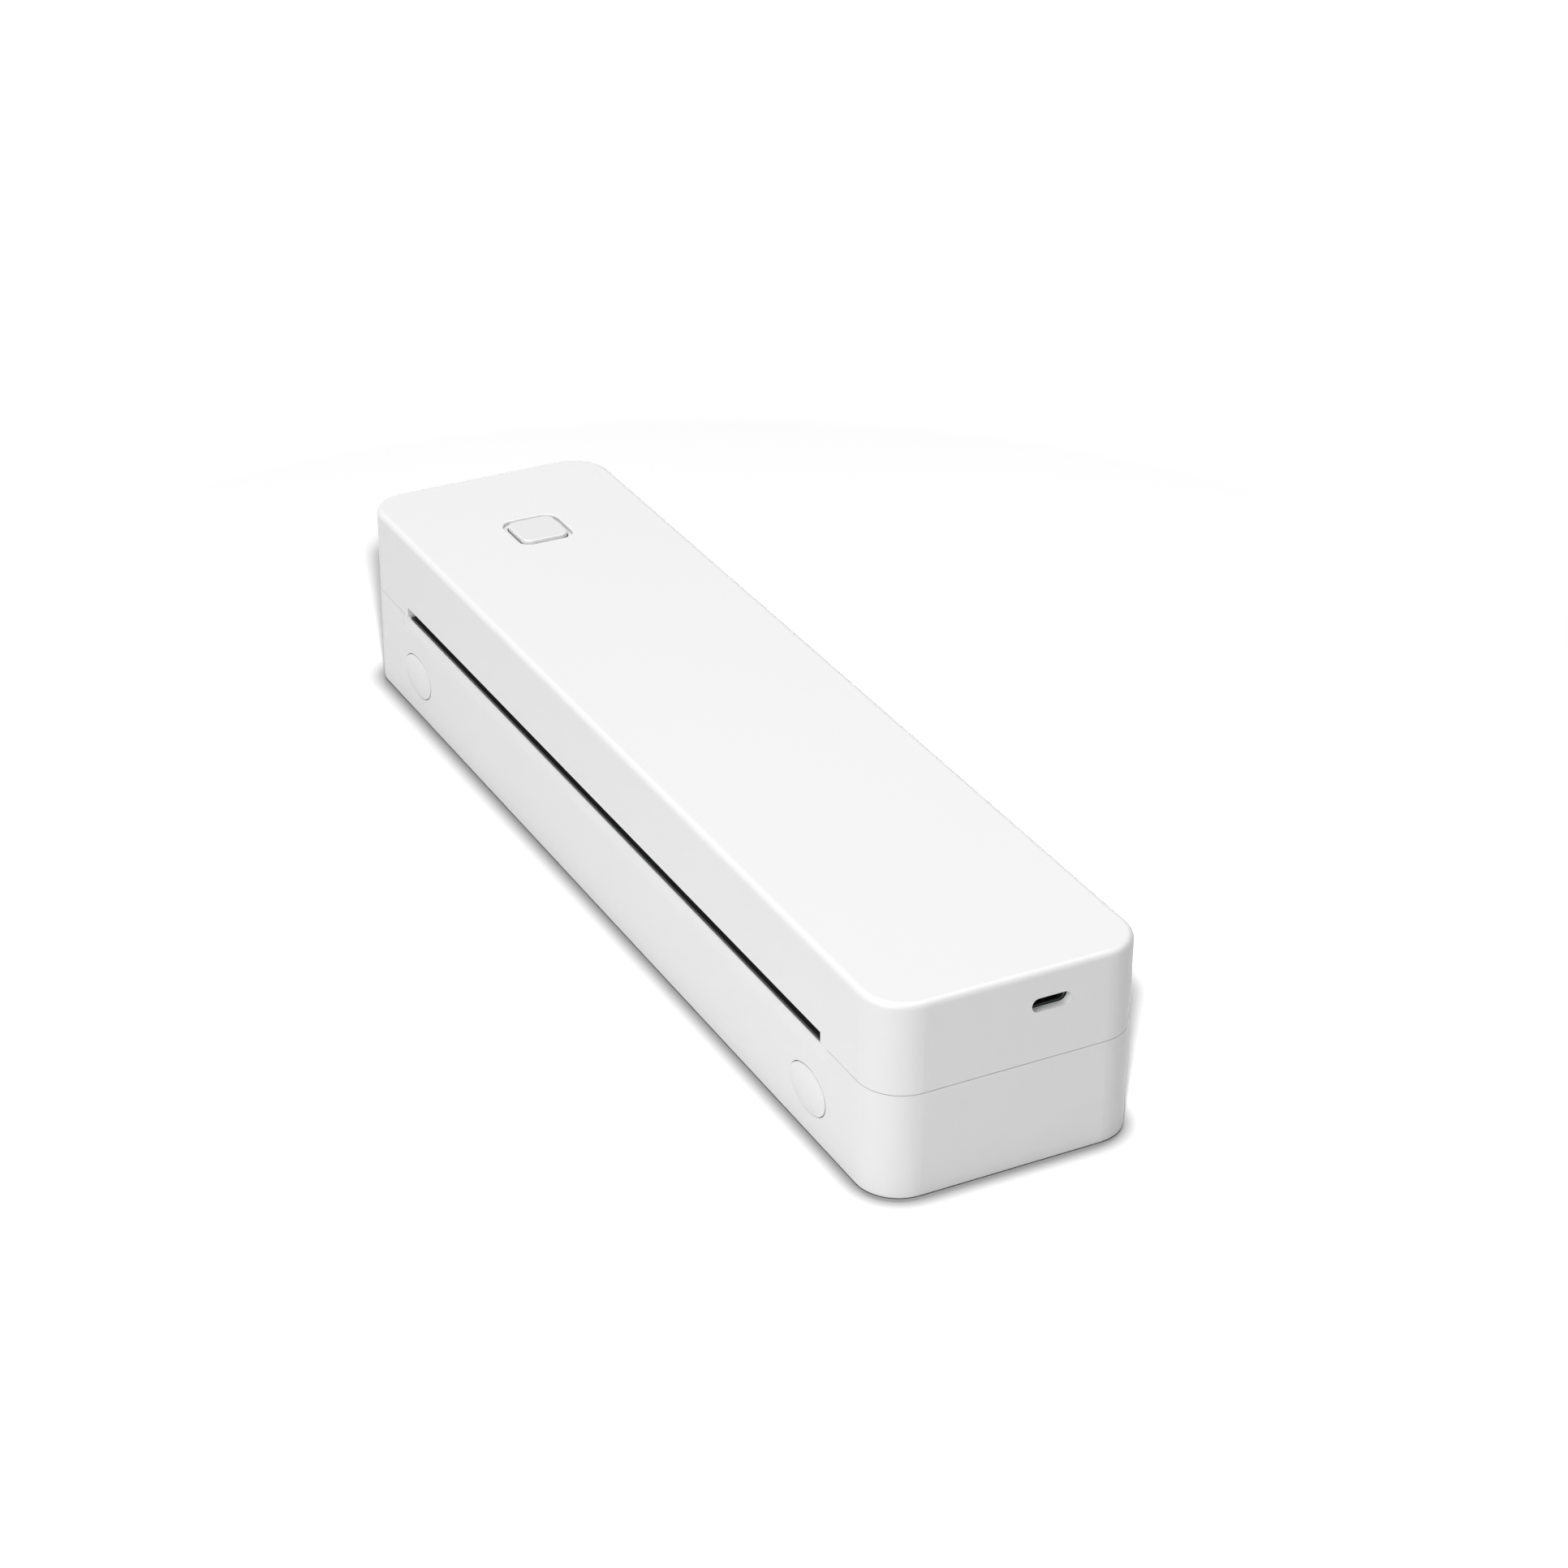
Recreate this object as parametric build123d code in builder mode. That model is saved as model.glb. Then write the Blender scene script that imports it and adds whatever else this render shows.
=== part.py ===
from build123d import *
from math import acos, atan2, cos, degrees, pi, radians, sin, sqrt, tan
import os

os.makedirs("parts", exist_ok=True)

# The printer lies along X with its port on the +X end, its paper slot towards -Y, and stands on Z = 0.

# Housing
length = 272.0
depth = 62.9
corner_radius = 9.8
wall = 2.0
floor_thickness = 2.0
roof_thickness = 2.0
underside_z = 0.6
seam_gap = 0.15
cover_height = 21.6
roof_round = 1.4
underside_chamfer = 0.4

# Clearances
loose_clearance = 0.3
running_clearance = 0.05

# Paper path
slot_margin = 0.5
slot_height = 2.7
lip_overhang = 2.75
lip_height = 3.6
lip_depth = 0.5
lip_drop = 0.6
ledge_inset = 0.75
inlet_end_inset = 2.7
deck_end_gap = 0.5
deck_thickness = 1.6
deck_clearance = 0.7
deck_window_margin = 0.8
guide_lift = 3.3
guide_thickness = 1.5
guide_overhang = 1.0
guide_flange_gap = 0.5
guide_window_margin = 1.0

# Feed roller
platen_setback = 17.25
platen_nip_rise = 1.4
platen_radius = 6.0
platen_end_gap = 3.0
platen_core_radius = 3.0
platen_core_overhang = 1.5
journal_radius = 2.5
bush_radius = 4.5
bush_flange_radius = 5.5
bush_flange_thickness = 0.8
post_setback = 25.0
post_thickness = 2.5
post_half_depth = 7.0
post_rise = 3.8
post_neck_width = 8.0

# Gears
tooth_module = 0.5
tooth_addendum = 0.8
tooth_dedendum = 1.2
tooth_backlash = 0.12
pressure_angle = 20.0
platen_teeth = 32
idler_small_teeth = 16
idler_large_teeth = 40
pinion_teeth = 12
inner_gear_gap = 0.4
inner_gear_width = 3.5
outer_gear_gap = 0.6
outer_gear_width = 3.0
idler_drop = 4.8
stub_radius = 1.0
stub_head_radius = 1.8
stub_head_thickness = 0.5

# Motor and its bracket
motor_radius = 10.0
motor_length = 16.0
motor_edge = 0.6
motor_floor_gap = 0.9
motor_shaft_radius = 1.0
motor_shaft_depth = 5.0
motor_shaft_hole_radius = 2.0
motor_screw_pitch = 13.0
bracket_thickness = 1.0
bracket_foot_thickness = 0.8
bracket_front_offset = 7.8
bracket_depth = 27.0
bracket_top_gap = 0.7
bracket_foot_reach = 14.4
bracket_screw_reach = 11.7
bracket_screw_spacing = 15.0
plinth_height = 1.5

# Battery
cell_radius = 9.2
cell_length = 65.2
cell_nub_radius = 3.0
cell_nub_height = 0.6
cell_edge = 0.5
cell_gap = 0.2
holder_rear_gap = 2.5
holder_floor = 0.8
holder_wall = 1.4
holder_height = 11.5
holder_gap = 0.2
contact_thickness = 0.5
contact_size = 9.0
holder_ear_length = 7.0
holder_ear_width = 8.0
holder_ear_thickness = 1.5

# Fasteners
screw_head_radius = 1.9
screw_head_height = 1.2
screw_head_edge = 0.3
screw_shank_radius = 1.0
screw_shank_length = 2.9
screw_socket_radius = 0.8
screw_socket_depth = 0.6
hole_clearance = 0.1
boss_radius = 3.0
deck_boss_gap = 2.8
deck_boss_edge = 7.0
deck_screw_length = 7.0
countersink_radius = 2.0
guide_boss_setback = 10.5
guide_boss_edge = 8.0
guide_screw_length = 6.0
head_boss_inset = 8.0
board_boss_radius = 2.5
board_boss_inset = 28.0
board_boss_edge = 3.8
board_screw_length = 4.5

# Cover release
button_setback = 31.2
button_z = 11.5
button_width = 16.2
button_height = 11.0
button_gap = 0.25
button_rise = 0.8
button_dome = 0.7
button_dome_along = 0.6
button_flange_reach = 10.8
button_flange_thickness = 1.6
button_flange_rise = 7.6
hook_gap = 1.5
hook_width = 5.4
hook_upright_setback = 4.65
hook_thickness = 1.5
hook_reach = 0.75
hook_root = 4.0
hook_nose_height = 1.5
strike_margin = 0.3
strike_reach = 1.2
strike_lift = 2.7
strike_height = 1.2
spring_wall_setback = 11.75
spring_wall_thickness = 1.5
spring_wall_half_width = 5.0
spring_wall_rise = 4.6
release_coil_radius = 2.4
release_wire_radius = 0.25
release_turns = 6.0

# Hinge
hinge_inset = 2.5
knuckle_radius = 2.4
hinge_pin_radius = 0.9
hinge_end_setback = 8.0
ear_width = 4.5
knuckle_width = 6.4
ear_root = 7.6
knuckle_relief = 0.5
gusset_gap = 0.6

# Locating ribs at the ends
rib_front_inset = 9.25
rib_rear_inset = 17.25
rib_thickness = 1.2
rib_root = 6.0
rib_rise = 1.6

# Feet
foot_setback = 18.0
foot_edge = 10.0
foot_radius = 5.0
foot_recess = 0.6

# Print head
heatsink_depth = 14.0
heatsink_height = 5.0
heatsink_groove = 2.0
heatsink_groove_depth = 2.2
heatsink_groove_spacing = 4.2
strip_depth = 8.0
strip_thickness = 0.9
heater_width = 1.2
heater_height = 0.1
head_pin_inset = 18.0
head_pin_radius = 1.5
head_pin_top_gap = 1.6
head_clip_radius = 2.8
head_clip_thickness = 0.8
head_bracket_drop = 4.6
head_bracket_inset = 2.0
head_bracket_depth = 11.0
head_bracket_flange = 3.0
head_bracket_thickness = 1.0
head_spring_inset = 43.0
head_spring_x = 30.0
head_coil_radius = 2.3
head_wire_radius = 0.3
head_turns = 5.0

# Circuit board
board_drop = 7.75
board_thickness = 1.6
board_left_setback = 18.0
board_end_gap = 0.5
board_front_setback = 27.25
board_rear_setback = 11.45
chip_height = 1.0
chip_row = 12.0
main_chip = 9.0
driver_chip = 7.0
driver_chip_x = 64.0
radio_chip = 6.0
radio_chip_x = 60.0
charger_chip = 5.0
charger_chip_setback = 30.0
capacitor_radius = 2.5
capacitor_height = 5.0
capacitor_row = 10.0
capacitor_x = 24.0
supply_capacitor_x = 84.0
socket_length = 42.0
socket_depth = 3.6
socket_height = 1.8
ribbon_x = 45.0
ribbon_width = 40.0
ribbon_thickness = 0.3
ribbon_start_rise = 2.5
ribbon_bend = 1.4

# Port
port_setback = 39.35
port_opening_width = 9.3
port_opening_height = 3.3
port_shell_width = 8.94
port_shell_height = 3.26
port_shell_thickness = 0.3
port_shell_length = 8.0
port_recess = 2.3
port_back_thickness = 1.5
tongue_width = 6.7
tongue_thickness = 0.7
tongue_length = 4.9

# Power button
power_end_setback = 35.5
power_front_setback = 31.65
power_opening = 14.8
power_opening_radius = 3.5
power_opening_edge = 0.25
power_opening_depth = 0.9
power_cap = 12.2
power_cap_radius = 2.4
power_cap_edge = 0.4
power_cap_rise = 0.3
power_gap = 0.25
power_flange = 15.0
power_flange_thickness = 1.1
power_stem_radius = 2.0
switch_size = 6.0
switch_height = 3.4
switch_plunger_radius = 1.6
switch_plunger_rise = 0.8
switch_plunger_depth = 0.5
switch_plunger_sink = 0.7

# Paper sensor
sensor_x = 60.0
sensor_width = 6.0
sensor_depth = 3.6
sensor_height = 2.4
sensor_edge = 2.2

inner_length = length - 2 * wall
inner_depth = depth - 2 * wall
inner_radius = corner_radius - wall
front_y = -depth / 2
rear_y = depth / 2
front_inner_y = front_y + wall
cavity_z = underside_z + floor_thickness

# The taller of motor and cells sets the deck's height, and the deck's top is level with the rim.
holder_floor_z = cavity_z + holder_floor
battery_z = holder_floor_z + cell_radius + holder_gap / 2
motor_z = cavity_z + motor_floor_gap + motor_radius
deck_z = max(motor_z + motor_radius, battery_z + cell_radius) + deck_clearance
rim_z = deck_z + deck_thickness
top_z = rim_z + cover_height
roof_z = top_z - roof_thickness
cover_rim_z = rim_z + seam_gap

hinge_y = rear_y - hinge_inset
hinge_end_x = length / 2 - hinge_end_setback
ear_outer_x = hinge_end_x - ear_width
knuckle_inner_x = ear_outer_x - loose_clearance - knuckle_width
ear_inner_x = knuckle_inner_x - loose_clearance - ear_width
ear_root_z = rim_z - ear_root
inlet_half_width = length / 2 - inlet_end_inset
inlet_top_z = rim_z + hinge_inset + 2 * loose_clearance

platen_y = front_y + platen_setback
platen_z = rim_z + platen_nip_rise - platen_radius
post_inner_x = length / 2 - post_setback
post_outer_x = post_inner_x + post_thickness
post_top_z = platen_z + post_rise
platen_half_length = post_inner_x - platen_end_gap
deck_width = 2 * (post_inner_x - deck_end_gap)
slot_width = deck_width - 2 * slot_margin
lip_width = slot_width + 2 * lip_overhang
guide_z = rim_z + guide_lift
guide_width = 2 * (post_inner_x + guide_overhang)

platen_pitch_radius = platen_teeth * tooth_module / 2
idler_small_pitch_radius = idler_small_teeth * tooth_module / 2
idler_large_pitch_radius = idler_large_teeth * tooth_module / 2
pinion_pitch_radius = pinion_teeth * tooth_module / 2
idler_distance = platen_pitch_radius + idler_small_pitch_radius
motor_distance = idler_large_pitch_radius + pinion_pitch_radius
idler_y = platen_y + sqrt(idler_distance**2 - idler_drop**2)
idler_z = platen_z - idler_drop
motor_y = idler_y + sqrt(motor_distance**2 - (idler_z - motor_z) ** 2)
inner_gear_start = post_outer_x + bush_flange_thickness + inner_gear_gap
inner_gear_end = inner_gear_start + inner_gear_width
outer_gear_start = inner_gear_end + outer_gear_gap
outer_gear_end = outer_gear_start + outer_gear_width
to_idler = degrees(atan2(idler_z - platen_z, idler_y - platen_y))
to_motor = degrees(atan2(motor_z - idler_z, motor_y - idler_y))

bracket_face_x = post_outer_x + loose_clearance
bracket_top_z = deck_z - bracket_top_gap
motor_face_x = bracket_face_x - bracket_thickness
plinth_z = cavity_z + plinth_height
bracket_y = platen_y + bracket_front_offset + bracket_depth / 2
bracket_foot_x = -bracket_face_x - bracket_foot_reach / 2
bracket_screw_x = -bracket_face_x - bracket_screw_reach

cells_half_length = cell_length + cell_gap / 2
holder_half_length = cells_half_length + contact_thickness + holder_wall
holder_depth = 2 * (cell_radius + holder_gap + holder_wall)
battery_y = rear_y - wall - holder_rear_gap - holder_depth / 2
ear_x = holder_half_length + holder_ear_length / 2

board_top_z = roof_z - board_drop
board_bottom_z = board_top_z - board_thickness
board_left_x = board_left_setback - length / 2
board_right_x = length / 2 - wall - board_end_gap
board_front_y = front_y + board_front_setback
board_depth = rear_y - board_rear_setback - board_front_y
board_boss_y = board_front_y + board_depth - board_boss_edge
board_boss_spacing = -2 * (board_left_x + board_boss_inset) / 3
chip_row_y = board_front_y + chip_row
capacitor_row_y = board_front_y + capacitor_row
port_front_x = length / 2 - port_recess
port_y = front_y + port_setback
port_z = board_top_z + port_shell_height / 2

deck_boss_x = holder_half_length + holder_ear_length + deck_boss_gap + boss_radius
deck_boss_front_y = front_y + deck_boss_edge
deck_boss_rear_y = rear_y - deck_boss_edge
guide_flange_top_z = board_bottom_z - guide_flange_gap
guide_flange_z = guide_flange_top_z - guide_thickness
guide_boss_x = length / 2 - guide_boss_setback
guide_boss_front_y = front_y + guide_boss_edge
guide_boss_rear_y = rear_y - guide_boss_edge
gusset_top_z = guide_flange_z - gusset_gap
foot_x = length / 2 - foot_setback
foot_y = depth / 2 - foot_edge
rib_length = depth - rib_front_inset - rib_rear_inset
rib_y = (rib_front_inset - rib_rear_inset) / 2

button_x = length / 2 - button_setback
button_flange_inner_x = button_x - button_flange_reach
button_flange_top_z = button_z + button_flange_rise
flange_front_y = front_inner_y + loose_clearance
flange_rear_y = flange_front_y + button_flange_thickness
strike_bottom_z = rim_z + strike_lift
hook_inner_x = guide_width / 2 + hook_gap
hook_outer_x = hook_inner_x + hook_width
hook_bottom_z = button_flange_top_z - hook_root
hook_nose_z = strike_bottom_z + strike_height + loose_clearance
hook_top_z = hook_nose_z + hook_nose_height
hook_front_y = front_y + hook_upright_setback
hook_rear_y = hook_front_y + hook_thickness
spring_wall_y = front_y + spring_wall_setback
spring_wall_top_z = button_z + spring_wall_rise

head_half_length = platen_half_length
heatsink_bottom_z = rim_z + platen_nip_rise + loose_clearance + heater_height + strip_thickness
heatsink_top_z = heatsink_bottom_z + heatsink_height
head_boss_x = head_half_length - head_boss_inset
head_pin_x = head_half_length - head_pin_inset
head_pin_top_z = roof_z - head_pin_top_gap
head_bracket_z = roof_z - head_bracket_drop
head_bracket_length = 2 * (head_half_length - head_bracket_inset)
head_spring_outer_x = head_half_length - head_spring_inset
ribbon_start_z = heatsink_bottom_z + ribbon_start_rise

power_x = power_end_setback - length / 2
power_y = front_y + power_front_setback
power_recess_z = top_z - power_opening_depth
power_flange_top_z = roof_z - loose_clearance
switch_top_z = board_top_z + switch_height
plunger_top_z = switch_top_z + switch_plunger_rise


def gear_outline(teeth, tooth_angle):
    """Points of a spur gear's outline, one tooth centred on tooth_angle degrees."""
    pitch = teeth * tooth_module / 2
    outer = pitch + tooth_addendum * tooth_module
    root = pitch - tooth_dedendum * tooth_module
    base = pitch * cos(radians(pressure_angle))
    involute_at_pitch = tan(radians(pressure_angle)) - radians(pressure_angle)
    half_at_pitch = (pi * tooth_module / 2 - tooth_backlash) / (2 * pitch)
    start = max(base, root)
    flank = []
    for step in range(5):
        radius = start + (outer - start) * step / 4
        roll = acos(min(1.0, base / radius))
        flank.append((radius, half_at_pitch + involute_at_pitch - (tan(roll) - roll)))
    points = []
    for tooth in range(teeth):
        middle = radians(tooth_angle) + 2 * pi * tooth / teeth
        edge = [(root, -flank[0][1])]
        edge += [(radius, -half) for radius, half in flank]
        edge += [(radius, half) for radius, half in reversed(flank)]
        edge += [(root, flank[0][1])]
        if start == root:
            edge = edge[1:-1]
        points += [(radius * cos(middle + turn), radius * sin(middle + turn)) for radius, turn in edge]
    return points


def screw_points(shank_length):
    """Half section of a pan-head screw, its bearing face at height 0 and its shank pointing down."""
    return [
        (0, screw_head_height - screw_socket_depth),
        (screw_socket_radius, screw_head_height - screw_socket_depth),
        (screw_socket_radius, screw_head_height),
        (screw_head_radius - screw_head_edge, screw_head_height),
        (screw_head_radius, screw_head_height - screw_head_edge),
        (screw_head_radius, 0),
        (screw_shank_radius, 0),
        (screw_shank_radius, -shank_length),
        (0, -shank_length),
    ]


def add_screw(seat, outward, shank_length):
    """Adds one pan-head screw whose head bears on the point seat and looks along outward."""
    across = (0, 1, 0) if abs(outward[0]) > 0.5 else (1, 0, 0)
    axis_plane = Plane(origin=seat, x_dir=across, z_dir=outward)
    section = Plane(origin=seat, x_dir=across, z_dir=-axis_plane.y_dir)
    with BuildSketch(section) as half:
        Polygon(*screw_points(shank_length), align=None)
    revolve(half.sketch, axis=Axis(seat, outward))


def add_coil(start, direction, radius, wire_radius, height, turns):
    """Adds one open coil spring that begins at start and climbs along direction."""
    with BuildLine() as coil:
        Helix(height / turns, height, radius, center=start, direction=direction)
    with BuildSketch(Plane(origin=coil.line @ 0, z_dir=coil.line % 0)) as wire:
        Circle(wire_radius)
    sweep(wire.sketch, path=coil.line, is_frenet=True)


def add_release(side):
    """Adds one release button: domed oval cap, flange, arm and hook, on the +X side for side 1."""
    flange_middle_x = side * (button_flange_inner_x + hook_outer_x) / 2
    flange_bottom_z = cavity_z + loose_clearance
    half_width = button_width / 2 - button_gap
    half_height = button_height / 2 - button_gap
    apex_y = front_y - button_rise
    dome_radius = (half_height**2 + button_dome**2) / (2 * button_dome)
    dome_axis = Axis((0, apex_y + dome_radius, button_z), (1, 0, 0))
    with BuildSketch(Plane.XY.offset(button_z)) as crown:
        with BuildLine():
            Polyline(
                (side * button_x - half_width, apex_y + button_dome_along),
                (side * button_x - half_width, apex_y + dome_radius),
                (side * button_x + half_width, apex_y + dome_radius),
                (side * button_x + half_width, apex_y + button_dome_along),
            )
            ThreePointArc(
                (side * button_x + half_width, apex_y + button_dome_along),
                (side * button_x, apex_y),
                (side * button_x - half_width, apex_y + button_dome_along),
            )
        make_face()
    revolve(crown.sketch, axis=dome_axis)
    with BuildSketch(Plane.XZ.offset(-flange_rear_y)) as oval:
        with Locations((side * button_x, button_z)):
            Ellipse(half_width, half_height)
    extrude(oval.sketch, amount=flange_rear_y - apex_y, mode=Mode.INTERSECT)
    with BuildSketch(Plane.XZ.offset(-flange_rear_y)) as flange:
        with Locations((flange_middle_x, (flange_bottom_z + button_flange_top_z) / 2)):
            Rectangle(hook_outer_x - button_flange_inner_x, button_flange_top_z - flange_bottom_z)
    extrude(flange.sketch, amount=button_flange_thickness)
    with BuildSketch(Plane.YZ.offset(side * hook_inner_x)) as hook:
        Polygon(
            (flange_front_y, hook_bottom_z),
            (hook_rear_y, hook_bottom_z),
            (hook_rear_y, hook_top_z),
            (hook_front_y, hook_top_z),
            (hook_front_y - hook_reach, hook_top_z - hook_reach),
            (hook_front_y - hook_reach, hook_nose_z),
            (hook_front_y, hook_nose_z),
            (hook_front_y, button_flange_top_z),
            (flange_front_y, button_flange_top_z),
            align=None,
        )
    extrude(hook.sketch, amount=side * (hook_outer_x - hook_inner_x))


def add_tab(centre, size):
    """Adds a plain block given by the middle of its underside and its three sizes."""
    with BuildSketch(Plane(origin=centre)) as base:
        Rectangle(size[0], size[1])
    extrude(base.sketch, amount=size[2])


# Lower housing
with BuildPart() as lower_shell:
    with BuildSketch(Plane.XY.offset(underside_z)):
        RectangleRounded(length, depth, corner_radius)
    extrude(amount=rim_z - underside_z)
    chamfer(lower_shell.faces().sort_by(Axis.Z)[0].edges(), underside_chamfer)
    with BuildSketch(Plane.XY.offset(cavity_z)):
        RectangleRounded(inner_length, inner_depth, inner_radius)
    extrude(amount=rim_z - cavity_z, mode=Mode.SUBTRACT)

    # The lip under the paper slot leans back.
    with BuildSketch(Plane.YZ):
        Polygon(
            (front_y, rim_z - lip_height),
            (front_y + lip_depth, rim_z - lip_drop),
            (front_y + lip_depth, rim_z),
            (front_y, rim_z),
            align=None,
        )
    extrude(amount=lip_width / 2, both=True, mode=Mode.SUBTRACT)

    # The wall is lower behind the lip, where the deck's ledge covers it.
    with BuildSketch(Plane.XY.offset(rim_z - lip_drop)):
        with Locations((0, front_y)):
            Rectangle(slot_width, wall, align=(Align.CENTER, Align.MIN))
    extrude(amount=lip_drop, mode=Mode.SUBTRACT)

    # Posts that carry the roller's bearings, with a snap-in neck.
    for post_x in (post_inner_x, -post_outer_x):
        with BuildSketch(Plane.YZ.offset(post_x)):
            with Locations((platen_y, (cavity_z + post_top_z) / 2)):
                Rectangle(2 * post_half_depth, post_top_z - cavity_z)
            with Locations((platen_y, platen_z)):
                Circle(bush_radius, mode=Mode.SUBTRACT)
            with Locations((platen_y, (platen_z + post_top_z) / 2)):
                Rectangle(post_neck_width, post_top_z - platen_z, mode=Mode.SUBTRACT)
        extrude(amount=post_thickness)

    # Bosses under the paper deck.
    with BuildSketch(Plane.XY.offset(cavity_z)):
        for boss_x in (-deck_boss_x, deck_boss_x):
            with Locations((boss_x, deck_boss_front_y), (boss_x, deck_boss_rear_y)):
                Circle(boss_radius)
    extrude(amount=deck_z - cavity_z)
    with BuildSketch(Plane.XY.offset(deck_z)):
        for boss_x in (-deck_boss_x, deck_boss_x):
            with Locations((boss_x, deck_boss_front_y), (boss_x, deck_boss_rear_y)):
                Circle(screw_shank_radius)
    extrude(amount=-deck_screw_length, mode=Mode.SUBTRACT)

    # Plinth of the motor bracket with its screw holes.
    with BuildSketch(Plane.XY.offset(cavity_z)):
        with Locations((bracket_foot_x + bracket_thickness / 2, bracket_y)):
            Rectangle(bracket_foot_reach + bracket_thickness, bracket_depth)
    extrude(amount=plinth_height)
    with BuildSketch(Plane.XY.offset(plinth_z)):
        with Locations((bracket_screw_x, bracket_y)):
            with GridLocations(1, bracket_screw_spacing, 1, 2):
                Circle(screw_shank_radius)
    extrude(amount=-(screw_shank_length - bracket_foot_thickness), mode=Mode.SUBTRACT)

    # Screw holes of the battery holder.
    with BuildSketch(Plane.XY.offset(cavity_z)):
        with Locations((-ear_x, battery_y), (ear_x, battery_y)):
            Circle(screw_shank_radius)
    extrude(amount=-(screw_shank_length - holder_ear_thickness), mode=Mode.SUBTRACT)

    # Walls behind the release springs.
    with BuildSketch(Plane.XY.offset(cavity_z)):
        with Locations((-button_x, spring_wall_y), (button_x, spring_wall_y)):
            Rectangle(2 * spring_wall_half_width, spring_wall_thickness, align=(Align.CENTER, Align.MIN))
    extrude(amount=spring_wall_top_z - cavity_z)

    # Oval openings of the release buttons.
    with BuildSketch(Plane.XZ.offset(-front_inner_y)):
        with Locations((-button_x, button_z), (button_x, button_z)):
            Ellipse(button_width / 2, button_height / 2)
    extrude(amount=wall, mode=Mode.SUBTRACT)

    # Rear wall cut down where the cover's knuckles swing.
    relief_width = knuckle_width + 2 * loose_clearance
    relief_depth = hinge_inset + knuckle_relief
    for side in (-1, 1):
        with BuildSketch(Plane.XY.offset(rim_z - relief_depth)):
            with Locations((side * (knuckle_inner_x + knuckle_width / 2), hinge_y - relief_depth)):
                Rectangle(relief_width, 2 * relief_depth + hinge_inset, align=(Align.CENTER, Align.MIN))
        extrude(amount=relief_depth, mode=Mode.SUBTRACT)

    # Hinge ears.
    for ear_x_start in (ear_inner_x, ear_outer_x, -ear_inner_x - ear_width, -hinge_end_x):
        with BuildSketch(Plane.YZ.offset(ear_x_start)):
            with Locations((hinge_y, rim_z)):
                Circle(knuckle_radius)
            with Locations((hinge_y, (ear_root_z + rim_z) / 2)):
                Rectangle(2 * knuckle_radius, rim_z - ear_root_z)
        extrude(amount=ear_width)
    for bore_x_start in (ear_inner_x, -hinge_end_x):
        with BuildSketch(Plane.YZ.offset(bore_x_start)):
            with Locations((hinge_y, rim_z)):
                Circle(hinge_pin_radius)
        extrude(amount=hinge_end_x - ear_inner_x, mode=Mode.SUBTRACT)

    # Ribs inside the ends that guide the cover home.
    for side in (-1, 1):
        with BuildSketch(Plane.XY.offset(rim_z - rib_root)):
            with Locations((side * (length / 2 - wall - loose_clearance - rib_thickness / 2), rib_y)):
                Rectangle(rib_thickness, rib_length)
        extrude(amount=rib_root + rib_rise)
        with BuildSketch(Plane.XY.offset(rim_z - rib_root)):
            with Locations((side * (length / 2 - wall - loose_clearance / 2), rib_y)):
                Rectangle(loose_clearance, rib_length)
        extrude(amount=rib_root)

    # Recesses for the feet.
    with BuildSketch(Plane.XY.offset(underside_z)):
        with GridLocations(2 * foot_x, 2 * foot_y, 2, 2):
            Circle(foot_radius)
    extrude(amount=foot_recess, mode=Mode.SUBTRACT)

lower_shell.part.label = "lower_shell"
export_step(lower_shell.part, "parts/lower_shell.step")

# Feet
with BuildPart() as rubber_feet:
    with BuildSketch(Plane.XY):
        with GridLocations(2 * foot_x, 2 * foot_y, 2, 2):
            Circle(foot_radius)
    extrude(amount=underside_z + foot_recess)

rubber_feet.part.label = "rubber_feet"
export_step(rubber_feet.part, "parts/rubber_feet.step")

# Paper deck with the roller's window
with BuildPart() as paper_deck:
    with BuildSketch(Plane.XY.offset(deck_z)):
        Rectangle(deck_width, inner_depth - 2 * loose_clearance)
        with Locations((0, platen_y)):
            Rectangle(
                2 * (platen_half_length + deck_window_margin),
                2 * (platen_radius + deck_window_margin),
                mode=Mode.SUBTRACT,
            )
    extrude(amount=deck_thickness)

    # Ledge that carries the sheet out over the lip.
    with BuildSketch(Plane.XY.offset(rim_z - lip_drop)):
        with Locations((0, front_y + ledge_inset)):
            Rectangle(
                slot_width - 2 * loose_clearance,
                wall + 2 * loose_clearance - ledge_inset,
                align=(Align.CENTER, Align.MIN),
            )
    extrude(amount=lip_drop)
    with Locations(Plane.XY.offset(rim_z)):
        for boss_x in (-deck_boss_x, deck_boss_x):
            with Locations((boss_x, deck_boss_front_y), (boss_x, deck_boss_rear_y)):
                CounterSinkHole(screw_shank_radius, countersink_radius)

paper_deck.part.label = "paper_deck"
export_step(paper_deck.part, "parts/paper_deck.step")

# Countersunk screws of the deck
with BuildPart() as deck_screws:
    for boss_x in (-deck_boss_x, deck_boss_x):
        for boss_y in (deck_boss_front_y, deck_boss_rear_y):
            with BuildSketch(Plane(origin=(boss_x, boss_y, rim_z), x_dir=(1, 0, 0), z_dir=(0, -1, 0))):
                Polygon(
                    (0, -screw_socket_depth),
                    (screw_socket_radius, -screw_socket_depth),
                    (screw_socket_radius, 0),
                    (countersink_radius, 0),
                    (screw_shank_radius, screw_shank_radius - countersink_radius),
                    (screw_shank_radius, -deck_thickness - deck_screw_length),
                    (0, -deck_thickness - deck_screw_length),
                    align=None,
                )
            revolve(axis=Axis((boss_x, boss_y, rim_z), (0, 0, 1)))

deck_screws.part.label = "deck_screws"
export_step(deck_screws.part, "parts/deck_screws.step")

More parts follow.
